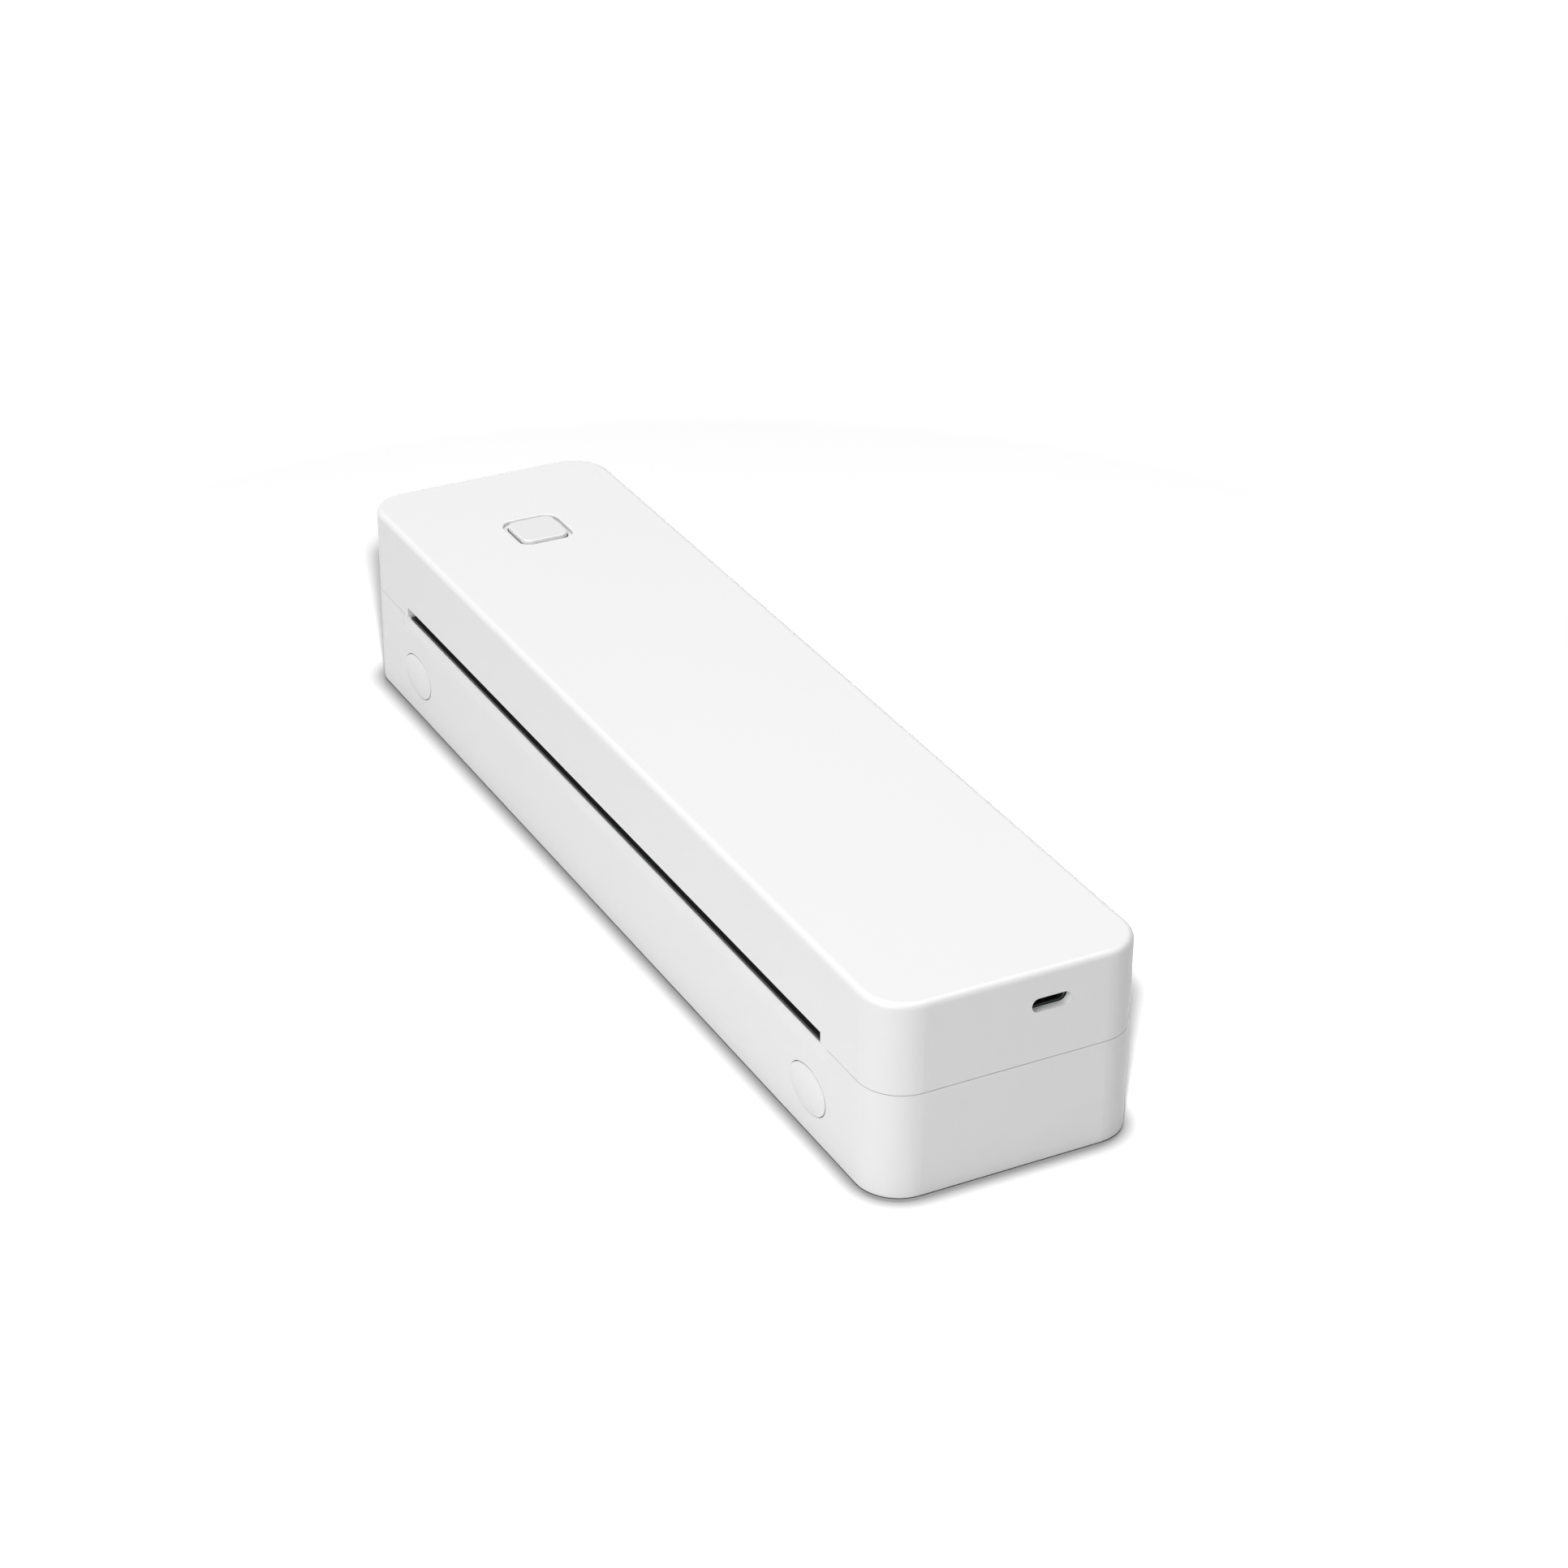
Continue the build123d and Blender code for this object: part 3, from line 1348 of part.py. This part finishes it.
with BuildPart() as power_button:
    with BuildSketch(Plane.XY.offset(power_flange_top_z)):
        with Locations((power_x, power_y)):
            RectangleRounded(power_cap, power_cap, power_cap_radius)
    extrude(amount=top_z + power_cap_rise - power_flange_top_z)
    fillet(power_button.faces().sort_by(Axis.Z)[-1].edges(), power_cap_edge)
    with BuildSketch(Plane.XY.offset(power_flange_top_z)):
        with Locations((power_x, power_y)):
            RectangleRounded(power_flange, power_flange, power_cap_radius)
    extrude(amount=-power_flange_thickness)
    with BuildSketch(Plane.XY.offset(plunger_top_z)):
        with Locations((power_x, power_y)):
            Circle(power_stem_radius)
    extrude(amount=power_flange_top_z - power_flange_thickness - plunger_top_z)

power_button.part.label = "power_button"
export_step(power_button.part, "parts/power_button.step")
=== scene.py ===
import bpy
import math
from mathutils import Matrix, Vector

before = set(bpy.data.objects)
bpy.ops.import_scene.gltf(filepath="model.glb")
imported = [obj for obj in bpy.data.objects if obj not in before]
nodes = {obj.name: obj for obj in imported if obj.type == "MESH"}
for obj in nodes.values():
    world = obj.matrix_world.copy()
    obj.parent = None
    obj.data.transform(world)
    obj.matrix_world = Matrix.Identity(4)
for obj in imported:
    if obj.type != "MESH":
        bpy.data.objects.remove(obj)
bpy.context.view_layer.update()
scene = bpy.context.scene
print("frame loaded,", len(nodes), "nodes")


# small helpers for node trees

def addNode(tree, kind, x, y, values=None, **settings):
    # values go to the node's input sockets, settings to the node itself
    node = tree.nodes.new(kind)
    node.location = (x, y)
    for key, value in settings.items():
        setattr(node, key, value)
    for key, value in (values or {}).items():
        node.inputs[key].default_value = value
    return node


def join(tree, source, target):
    tree.links.new(source, target)


def newGroup(name, inputs, outputs):
    group = bpy.data.node_groups.new(name, "ShaderNodeTree")
    sockets = group.interface
    for label, value in inputs.items():
        socket = sockets.new_socket(name=label, in_out="INPUT", socket_type="NodeSocketFloat")
        socket.default_value = value
    for label in outputs:
        sockets.new_socket(name=label, in_out="OUTPUT", socket_type="NodeSocketFloat")
    start = addNode(group, "NodeGroupInput", -900, 0)
    end = addNode(group, "NodeGroupOutput", 700, 0)
    return group, start, end


def newMaterial(name):
    material = bpy.data.materials.new(name)
    material.use_nodes = True
    tree = material.node_tree
    tree.nodes.clear()
    output = addNode(tree, "ShaderNodeOutputMaterial", 900, 0)
    shader = addNode(tree, "ShaderNodeBsdfPrincipled", 600, 0)
    join(tree, shader.outputs["BSDF"], output.inputs["Surface"])
    return material, tree, shader


def mixColors(tree, x, y, factor, first, second):
    mix = addNode(tree, "ShaderNodeMix", x, y, data_type="RGBA")
    join(tree, factor, mix.inputs["Factor"])
    # the colour sockets share their names with the number sockets, so they go by place
    for value, socket in ((first, mix.inputs[6]), (second, mix.inputs[7])):
        if isinstance(value, (tuple, list)):
            socket.default_value = (*value, 1.0)
        else:
            join(tree, value, socket)
    return mix.outputs[2]


def mapRange(tree, x, y, value, source, target, **settings):
    ranged = addNode(tree, "ShaderNodeMapRange", x, y, {
        "From Min": source[0], "From Max": source[1], "To Min": target[0], "To Max": target[1],
    }, **settings)
    join(tree, value, ranged.inputs["Value"])
    return ranged.outputs["Result"]


def calculate(tree, x, y, operation, first, second, **settings):
    node = addNode(tree, "ShaderNodeMath", x, y, operation=operation, **settings)
    join(tree, first, node.inputs[0])
    join(tree, second, node.inputs[1])
    return node.outputs[0]


def addNoise(tree, x, y, where, values):
    noise = addNode(tree, "ShaderNodeTexNoise", x, y, values)
    join(tree, where, noise.inputs["Vector"])
    return noise


def addRelief(tree, shader, height, strength, depth):
    bump = addNode(tree, "ShaderNodeBump", 300, -300, {"Strength": strength, "Distance": depth})
    join(tree, height, bump.inputs["Height"])
    join(tree, bump.outputs["Normal"], shader.inputs["Normal"])


def seenRays(tree, x, y, kinds):
    # 1 for the kinds of ray that are named, 0 for all others
    lightPath = addNode(tree, "ShaderNodeLightPath", x, y)
    total = lightPath.outputs[kinds[0]]
    for step, kind in enumerate(kinds[1:], 1):
        total = calculate(
            tree, x + 200 * step, y, "ADD", total, lightPath.outputs[kind], use_clamp=True
        )
    return total


# shared effects

def buildMoldGrain():
    # fine spark-eroded texture of a mould and the slow drift of tone across a moulding
    group, start, end = newGroup(
        "moldGrain", {"Grain Scale": 2600.0, "Drift Scale": 14.0}, ["Grain", "Drift"]
    )
    place = addNode(group, "ShaderNodeTexCoord", -900, -250).outputs["Object"]
    grain = addNoise(group, -500, 200, place, {"Detail": 3.0, "Roughness": 0.55})
    drift = addNoise(group, -500, -100, place, {"Detail": 2.0})
    join(group, start.outputs["Grain Scale"], grain.inputs["Scale"])
    join(group, start.outputs["Drift Scale"], drift.inputs["Scale"])
    join(group, grain.outputs["Fac"], end.inputs["Grain"])
    join(group, drift.outputs["Fac"], end.inputs["Drift"])
    return group


def buildEdgeWear():
    # 1 along sharp outer edges, broken up by noise
    group, start, end = newGroup(
        "edgeWear", {"Radius": 0.0004, "Break Up": 900.0, "Strength": 1.0}, ["Edge"]
    )
    rounded = addNode(group, "ShaderNodeBevel", -650, 150, samples=4)
    join(group, start.outputs["Radius"], rounded.inputs["Radius"])
    shape = addNode(group, "ShaderNodeNewGeometry", -650, -50)
    turned = addNode(group, "ShaderNodeVectorMath", -420, 100, operation="DOT_PRODUCT")
    join(group, rounded.outputs["Normal"], turned.inputs[0])
    join(group, shape.outputs["Normal"], turned.inputs[1])
    edge = mapRange(group, -200, 100, turned.outputs["Value"], (1.0, 0.86), (0.0, 1.0))
    place = addNode(group, "ShaderNodeTexCoord", -650, -300).outputs["Object"]
    noise = addNoise(group, -420, -250, place, {})
    join(group, start.outputs["Break Up"], noise.inputs["Scale"])
    broken = calculate(group, 50, 50, "MULTIPLY", edge, noise.outputs["Fac"])
    strength = start.outputs["Strength"]
    scaled = calculate(group, 250, 50, "MULTIPLY", broken, strength, use_clamp=True)
    join(group, scaled, end.inputs["Edge"])
    return group


def buildDrawLines():
    # long fine lines left by rolling, drawing or grinding, along one axis of the piece
    group, start, end = newGroup(
        "drawLines", {"Along X": 30.0, "Along Y": 1500.0, "Along Z": 1500.0}, ["Lines", "Blotches"]
    )
    place = addNode(group, "ShaderNodeTexCoord", -900, -250).outputs["Object"]
    stretch = addNode(group, "ShaderNodeCombineXYZ", -650, 100)
    for axis in "XYZ":
        join(group, start.outputs["Along " + axis], stretch.inputs[axis])
    scaled = addNode(group, "ShaderNodeVectorMath", -420, 50, operation="MULTIPLY")
    join(group, place, scaled.inputs[0])
    join(group, stretch.outputs["Vector"], scaled.inputs[1])
    lines = addNoise(
        group, -180, 100, scaled.outputs[0], {"Scale": 1.0, "Detail": 4.0, "Roughness": 0.6}
    )
    blotches = addNoise(group, -180, -200, place, {"Scale": 90.0})
    join(group, lines.outputs["Fac"], end.inputs["Lines"])
    join(group, blotches.outputs["Fac"], end.inputs["Blotches"])
    return group


moldGrain = buildMoldGrain()
edgeWear = buildEdgeWear()
drawLines = buildDrawLines()
print("shared effects built")


def scaleColor(color, factor):
    return tuple(min(1.0, channel * factor) for channel in color)


def addSurface(tree, shader, look, tone, fine):
    # what plastics and metals share: tone and worn edges, fine detail in gloss and relief
    color, drift = look["color"], look["drift"]
    toned = mixColors(
        tree, -350, 250, tone, scaleColor(color, 1.0 - drift), scaleColor(color, 1.0 + drift)
    )
    edge = addNode(tree, "ShaderNodeGroup", -700, -250, {
        "Radius": look["edgeRadius"], "Strength": look["edgeStrength"],
    }, node_tree=edgeWear)
    worn = mixColors(tree, -50, 200, edge.outputs["Edge"], toned, look["edgeColor"])
    # painted shade: base colour darkened in narrow gaps and hollows by ambient occlusion
    if "paintedShadeReach" in look:
        crevice = addNode(
            tree, "ShaderNodeAmbientOcclusion", -50, 500, {"Distance": look["paintedShadeReach"]},
            samples=12,
        )
        clear = mapRange(
            tree, 150, 500, crevice.outputs["AO"], look["paintedShadeRange"], (0.0, 1.0)
        )
        worn = mixColors(tree, 350, 350, clear, look["paintedShadeColor"], worn)
    join(tree, worn, shader.inputs["Base Color"])
    rough, spread = look["rough"], look["roughSpread"]
    gloss = mapRange(tree, -50, -50, fine, (0.0, 1.0), (rough - spread, rough + spread))
    join(tree, gloss, shader.inputs["Roughness"])
    addRelief(tree, shader, fine, look["relief"], look["reliefDepth"])


def moldedPlastic(name, look):
    # moulded plastic or rubber: tone drift and fine grain
    material, tree, shader = newMaterial(name)
    grain = addNode(tree, "ShaderNodeGroup", -700, 100, {
        "Grain Scale": look["grainScale"], "Drift Scale": look["driftScale"],
    }, node_tree=moldGrain)
    addSurface(tree, shader, look, grain.outputs["Drift"], grain.outputs["Grain"])
    shader.inputs["IOR"].default_value = look["ior"]
    shader.inputs["Specular IOR Level"].default_value = look["specular"]
    return material


def metalFinish(name, look):
    # worked metal: fine lines along the drawing direction and a blotchy tone
    material, tree, shader = newMaterial(name)
    alongX, alongY, alongZ = look["lines"]
    lines = addNode(tree, "ShaderNodeGroup", -700, 100, {
        "Along X": alongX, "Along Y": alongY, "Along Z": alongZ,
    }, node_tree=drawLines)
    addSurface(tree, shader, look, lines.outputs["Blotches"], lines.outputs["Lines"])
    shader.inputs["Metallic"].default_value = 1.0
    return material


def dress(material, *names):
    for name in names:
        for slot in nodes[name].material_slots:
            slot.material = material


# housing, power button and front buttons

shellLook = {
    "color": (0.86, 0.86, 0.86),
    "drift": 0.006,
    "driftScale": 16.0,
    "grainScale": 2400.0,
    "rough": 0.42,
    "roughSpread": 0.05,
    "relief": 0.06,
    "reliefDepth": 0.00003,
    "edgeRadius": 0.0003,
    "edgeStrength": 0.5,
    "edgeColor": (0.93, 0.93, 0.93),
    "ior": 1.5,
    "specular": 0.5,
}
dress(
    moldedPlastic("satinShell", shellLook),
    "lower_shell", "release_button_right", "release_button_left",
)

# painted shade: the cover's and the power cap's narrow gaps are darkened where ambient occlusion
# finds close surfaces
coverLook = dict(
    shellLook, paintedShadeReach=0.0011, paintedShadeRange=(0.3, 0.8), paintedShadeColor=(0.3, 0.3, 0.3)
)
dress(moldedPlastic("satinCover", coverLook), "upper_shell")

powerLook = dict(coverLook, color=(0.81, 0.81, 0.81), rough=0.38, drift=0.01)
dress(moldedPlastic("satinPowerCap", powerLook), "power_button")
print("housing dressed")

# dark inner plastics and rubbers

guideLook = {
    "color": (0.016, 0.016, 0.017),
    "drift": 0.12,
    "driftScale": 30.0,
    "grainScale": 1800.0,
    "rough": 0.52,
    "roughSpread": 0.08,
    "relief": 0.25,
    "reliefDepth": 0.00006,
    "edgeRadius": 0.0004,
    "edgeStrength": 0.8,
    "edgeColor": (0.06, 0.06, 0.062),
    "ior": 1.5,
    "specular": 0.45,
}
dress(moldedPlastic("blackGuide", guideLook), "paper_deck", "paper_guide", "battery_holder")

bushLook = dict(guideLook, color=(0.03, 0.028, 0.026), rough=0.36, relief=0.12)
dress(moldedPlastic("oiledBush", bushLook), "platen_bushes")

chipLook = dict(
    guideLook, color=(0.012, 0.012, 0.013), rough=0.44, grainScale=4200.0, edgeStrength=0.4
)
dress(
    moldedPlastic("chipEpoxy", chipLook),
    "board_chips", "usb_tongue", "switch_body", "switch_plunger", "ribbon_sockets",
    "paper_sensor",
)

rollerLook = dict(
    guideLook, color=(0.022, 0.022, 0.024), rough=0.66, roughSpread=0.06, grainScale=3200.0,
    relief=0.45, edgeColor=(0.09, 0.09, 0.09), specular=0.3,
)
dress(moldedPlastic("groundRollerRubber", rollerLook), "platen_rubber")

footLook = dict(rollerLook, color=(0.03, 0.03, 0.032), rough=0.78, grainScale=1500.0)
dress(moldedPlastic("footRubber", footLook), "rubber_feet")

gearLook = dict(
    shellLook, color=(0.72, 0.70, 0.62), rough=0.34, drift=0.03, driftScale=60.0,
    edgeColor=(0.82, 0.80, 0.74),
)
dress(moldedPlastic("naturalAcetal", gearLook), "platen_gear", "idler_gear")

ribbonLook = dict(
    gearLook, color=(0.62, 0.60, 0.52), rough=0.22, relief=0.03, edgeStrength=0.2
)
dress(moldedPlastic("ribbonFilm", ribbonLook), "head_ribbons")

cellLook = dict(
    guideLook, color=(0.012, 0.075, 0.24), rough=0.2, roughSpread=0.04, driftScale=45.0,
    drift=0.1, relief=0.1, grainScale=700.0, edgeColor=(0.05, 0.14, 0.32), specular=0.6,
)
dress(moldedPlastic("cellWrap", cellLook), "battery_cells")

ceramicLook = dict(
    shellLook, color=(0.74, 0.72, 0.66), rough=0.14, roughSpread=0.05, driftScale=40.0,
    drift=0.03, relief=0.03,
)
dress(moldedPlastic("glazedStrip", ceramicLook), "head_strip")
print("inner plastics and rubbers dressed")

# metals

screwLook = {
    "color": (0.52, 0.52, 0.54),
    "drift": 0.12,
    "rough": 0.3,
    "roughSpread": 0.08,
    "lines": (1400.0, 1400.0, 1400.0),
    "relief": 0.2,
    "reliefDepth": 0.00002,
    "edgeRadius": 0.0002,
    "edgeStrength": 1.0,
    "edgeColor": (0.75, 0.75, 0.76),
}
dress(
    metalFinish("zincScrew", screwLook),
    "deck_screws", "frame_screws", "guide_screws", "head_screws", "board_screws",
)

shaftLook = dict(
    screwLook, color=(0.6, 0.6, 0.61), rough=0.2, lines=(2600.0, 120.0, 120.0), drift=0.05
)
dress(
    metalFinish("groundShaft", shaftLook),
    "platen_shaft", "idler_shaft", "motor_shaft", "hinge_pins", "head_pins",
)

bracketLook = dict(
    screwLook, color=(0.56, 0.57, 0.58), rough=0.34, lines=(25.0, 1800.0, 1800.0)
)
dress(metalFinish("brightSheet", bracketLook), "motor_bracket", "head_bracket")

motorLook = dict(screwLook, color=(0.47, 0.48, 0.49), rough=0.38, lines=(900.0, 60.0, 60.0))
dress(metalFinish("drawnCan", motorLook), "motor_can")

brassLook = dict(screwLook, color=(0.66, 0.48, 0.18), rough=0.26, edgeColor=(0.85, 0.68, 0.34))
dress(metalFinish("machinedBrass", brassLook), "motor_pinion")

nickelLook = dict(screwLook, color=(0.62, 0.6, 0.56), rough=0.18, lines=(1200.0, 40.0, 1200.0))
dress(metalFinish("nickelSheet", nickelLook), "battery_contacts")

springLook = dict(screwLook, color=(0.4, 0.4, 0.41), rough=0.28, lines=(600.0, 600.0, 600.0))
dress(
    metalFinish("springWire", springLook),
    "release_spring_right", "release_spring_left", "head_springs",
)

sinkLook = dict(
    screwLook, color=(0.62, 0.63, 0.64), rough=0.4, roughSpread=0.1,
    lines=(18.0, 2200.0, 2200.0), drift=0.06,
)
dress(metalFinish("extrudedSink", sinkLook), "head_heatsink")

canLook = dict(screwLook, color=(0.66, 0.66, 0.67), rough=0.24, lines=(60.0, 60.0, 2400.0))
dress(metalFinish("capacitorCan", canLook), "board_capacitors")

portLook = dict(
    screwLook, color=(0.3, 0.3, 0.31), rough=0.34, lines=(40.0, 1600.0, 1600.0),
    edgeStrength=0.7,
)
dress(metalFinish("portShell", portLook), "usb_shell")
print("metals dressed")


# circuit board: lacquer over copper runs

boardLook = {
    "lacquer": (0.008, 0.075, 0.026),
    "overCopper": (0.018, 0.13, 0.05),
    "runsAlong": 90.0,
    "runsAcross": 420.0,
    "runEdge": (0.08, 0.12),
    "rough": (0.3, 0.42),
    "relief": 0.3,
    "reliefDepth": 0.00004,
}


def boardLacquer():
    material, tree, shader = newMaterial("boardLacquer")
    place = addNode(tree, "ShaderNodeTexCoord", -1000, 0).outputs["Object"]
    stretch = addNode(tree, "ShaderNodeMapping", -800, 0, {
        "Scale": (boardLook["runsAlong"], boardLook["runsAcross"], 1.0),
    })
    join(tree, place, stretch.inputs["Vector"])
    cells = addNode(
        tree, "ShaderNodeTexVoronoi", -600, 0, {"Scale": 1.0},
        feature="DISTANCE_TO_EDGE", distance="CHEBYCHEV",
    )
    join(tree, stretch.outputs["Vector"], cells.inputs["Vector"])
    runs = mapRange(
        tree, -350, 0, cells.outputs["Distance"], boardLook["runEdge"], (0.0, 1.0)
    )
    color = mixColors(tree, 0, 100, runs, boardLook["lacquer"], boardLook["overCopper"])
    join(tree, color, shader.inputs["Base Color"])
    rough = mapRange(tree, 0, -150, runs, (0.0, 1.0), boardLook["rough"])
    join(tree, rough, shader.inputs["Roughness"])
    addRelief(tree, shader, runs, boardLook["relief"], boardLook["reliefDepth"])
    return material


dress(boardLacquer(), "main_board")
print("board dressed")


# floor: its own pale colour near the object, with painted shade where they touch, and white
# further off

floorLook = {
    "size": 8.0,
    "color": (0.22, 0.22, 0.22),  # where the camera or a reflection sees it
    "unseenColor": (0.115, 0.115, 0.115),  # what it throws back on the object
    "rough": 0.9,
    "contactReach": 0.005,
    "contactRange": (0.5, 1.0),
    "contactPaintedShade": 0.3,
    "lift": 0.02,
    "whiteRange": (0.26, 0.34),
}


def paleStage():
    half = floorLook["size"] / 2
    corners = [(-half, -half, 0.0), (half, -half, 0.0), (half, half, 0.0), (-half, half, 0.0)]
    mesh = bpy.data.meshes.new("floor")
    mesh.from_pydata(corners, [], [(0, 1, 2, 3)])
    floor = bpy.data.objects.new("floor", mesh)
    scene.collection.objects.link(floor)

    material, tree, shader = newMaterial("paleFloor")
    # painted shade: the floor's colour darkens where ambient occlusion finds the object close
    contact = addNode(
        tree, "ShaderNodeAmbientOcclusion", -500, 100, {"Distance": floorLook["contactReach"]},
        samples=24,
    )
    near = mapRange(
        tree, -250, 100, contact.outputs["AO"],
        floorLook["contactRange"], (floorLook["contactPaintedShade"], 1.0),
    )
    seen = seenRays(
        tree, -750, 400, ["Is Camera Ray", "Is Glossy Ray", "Is Transmission Ray"]
    )
    lit = mixColors(tree, -150, 300, seen, floorLook["unseenColor"], floorLook["color"])
    tone = mixColors(tree, 0, 150, near, (0.0, 0.0, 0.0), lit)
    join(tree, tone, shader.inputs["Base Color"])
    shader.inputs["Roughness"].default_value = floorLook["rough"]
    shader.inputs["Specular IOR Level"].default_value = 0.0

    # the lift to white grows with the distance from the object's middle
    place = addNode(tree, "ShaderNodeTexCoord", -750, -250).outputs["Object"]
    reach = addNode(tree, "ShaderNodeVectorMath", -500, -250, operation="LENGTH")
    join(tree, place, reach.inputs[0])
    white = mapRange(
        tree, -250, -250, reach.outputs["Value"],
        floorLook["whiteRange"], (floorLook["lift"], 1.0), interpolation_type="SMOOTHSTEP",
    )
    shown = calculate(tree, 0, -250, "MULTIPLY", white, seen)
    join(tree, shown, shader.inputs["Emission Strength"])
    shader.inputs["Emission Color"].default_value = (1.0, 1.0, 1.0, 1.0)
    mesh.materials.append(material)
    return floor


floor = paleStage()

# soft studio light

worldLook = {"strength": 0.18, "seenStrength": 1.0}


def paleWorld():
    world = bpy.data.worlds.new("paleWorld")
    world.use_nodes = True
    tree = world.node_tree
    tree.nodes.clear()
    output = addNode(tree, "ShaderNodeOutputWorld", 600, 0)
    mix = addNode(tree, "ShaderNodeMixShader", 350, 0)
    seen = seenRays(tree, -300, 200, ["Is Camera Ray", "Is Transmission Ray"])
    join(tree, seen, mix.inputs["Fac"])
    for place, key in ((1, "strength"), (2, "seenStrength")):
        sky = addNode(tree, "ShaderNodeBackground", 100, -200 * place, {
            "Color": (1.0, 1.0, 1.0, 1.0), "Strength": worldLook[key],
        })
        join(tree, sky.outputs[0], mix.inputs[place])
    join(tree, mix.outputs[0], output.inputs["Surface"])
    scene.world = world


lampLooks = {
    "topPanel": {
        "place": (-0.1, 0.1, 1.4), "aim": (0.0, 0.0, 0.03), "size": (1.4, 1.0), "watts": 15.5,
    },
    "frontPanel": {
        "place": (1.17, -1.89, 1.28), "aim": (0.0, 0.0, 0.03), "size": (1.6, 1.3),
        "watts": 40.6,
    },
    "floorPanel": {
        "place": (0.605, -0.299, 0.542), "aim": (-0.03, 0.03, 0.0), "size": (0.07, 0.07),
        "watts": 66.0, "floorOnly": True,
    },
}


def lightFloorOnly(lamp):
    # the same light over the whole floor, whatever its distance from the lamp
    tree = lamp.data.node_tree
    even = addNode(tree, "ShaderNodeLightFalloff", -300, 0, {"Strength": 1.0})
    join(tree, even.outputs["Constant"], tree.nodes["Emission"].inputs["Strength"])
    lit = bpy.data.collections.new(lamp.name + "Lit")
    lit.objects.link(floor)
    lamp.light_linking.receiver_collection = lit


def hangLamp(name, look):
    data = bpy.data.lights.new(name, "AREA")
    data.shape = "RECTANGLE"
    data.size, data.size_y = look["size"]
    data.energy = look["watts"]
    lamp = bpy.data.objects.new(name, data)
    scene.collection.objects.link(lamp)
    away = Vector(look["place"]) - Vector(look["aim"])
    turn = away.to_track_quat("Z", "Y").to_matrix().to_4x4()
    lamp.matrix_world = Matrix.Translation(look["place"]) @ turn
    if look.get("floorOnly"):
        data.use_nodes = True
        lightFloorOnly(lamp)


paleWorld()
for lampName, lampLook in lampLooks.items():
    hangLamp(lampName, lampLook)
print("stage and lamps set")

# camera: bearing, height and roll in degrees, fitted to the photograph's edges

cameraLook = {
    "bearing": 62.39,
    "height": 28.89,
    "roll": 0.46,
    "distance": 0.9562,
    "aim": (-0.03193, 0.0339, 0.0006),
    "lens": 90.0,
    "sensor": 36.0,
    "near": 0.01,
    "far": 50.0,
}


def setCamera():
    bearing = math.radians(cameraLook["bearing"])
    height = math.radians(cameraLook["height"])
    roll = math.radians(cameraLook["roll"])
    back = Vector((
        math.sin(bearing) * math.cos(height),
        -math.cos(bearing) * math.cos(height),
        math.sin(height),
    ))
    right = (-back).cross(Vector((0.0, 0.0, 1.0))).normalized()
    up = right.cross(-back)
    rightRolled = right * math.cos(roll) + up * math.sin(roll)
    upRolled = up * math.cos(roll) - right * math.sin(roll)
    turn = Matrix((rightRolled, upRolled, back)).transposed().to_4x4()
    place = Vector(cameraLook["aim"]) + back * cameraLook["distance"]
    data = bpy.data.cameras.new("photoCamera")
    data.sensor_fit = "AUTO"
    data.sensor_width = cameraLook["sensor"]
    data.lens = cameraLook["lens"]
    data.clip_start = cameraLook["near"]
    data.clip_end = cameraLook["far"]
    camera = bpy.data.objects.new("photoCamera", data)
    scene.collection.objects.link(camera)
    camera.matrix_world = Matrix.Translation(place) @ turn
    scene.camera = camera


setCamera()
scene.view_settings.view_transform = "Standard"
print("camera set")
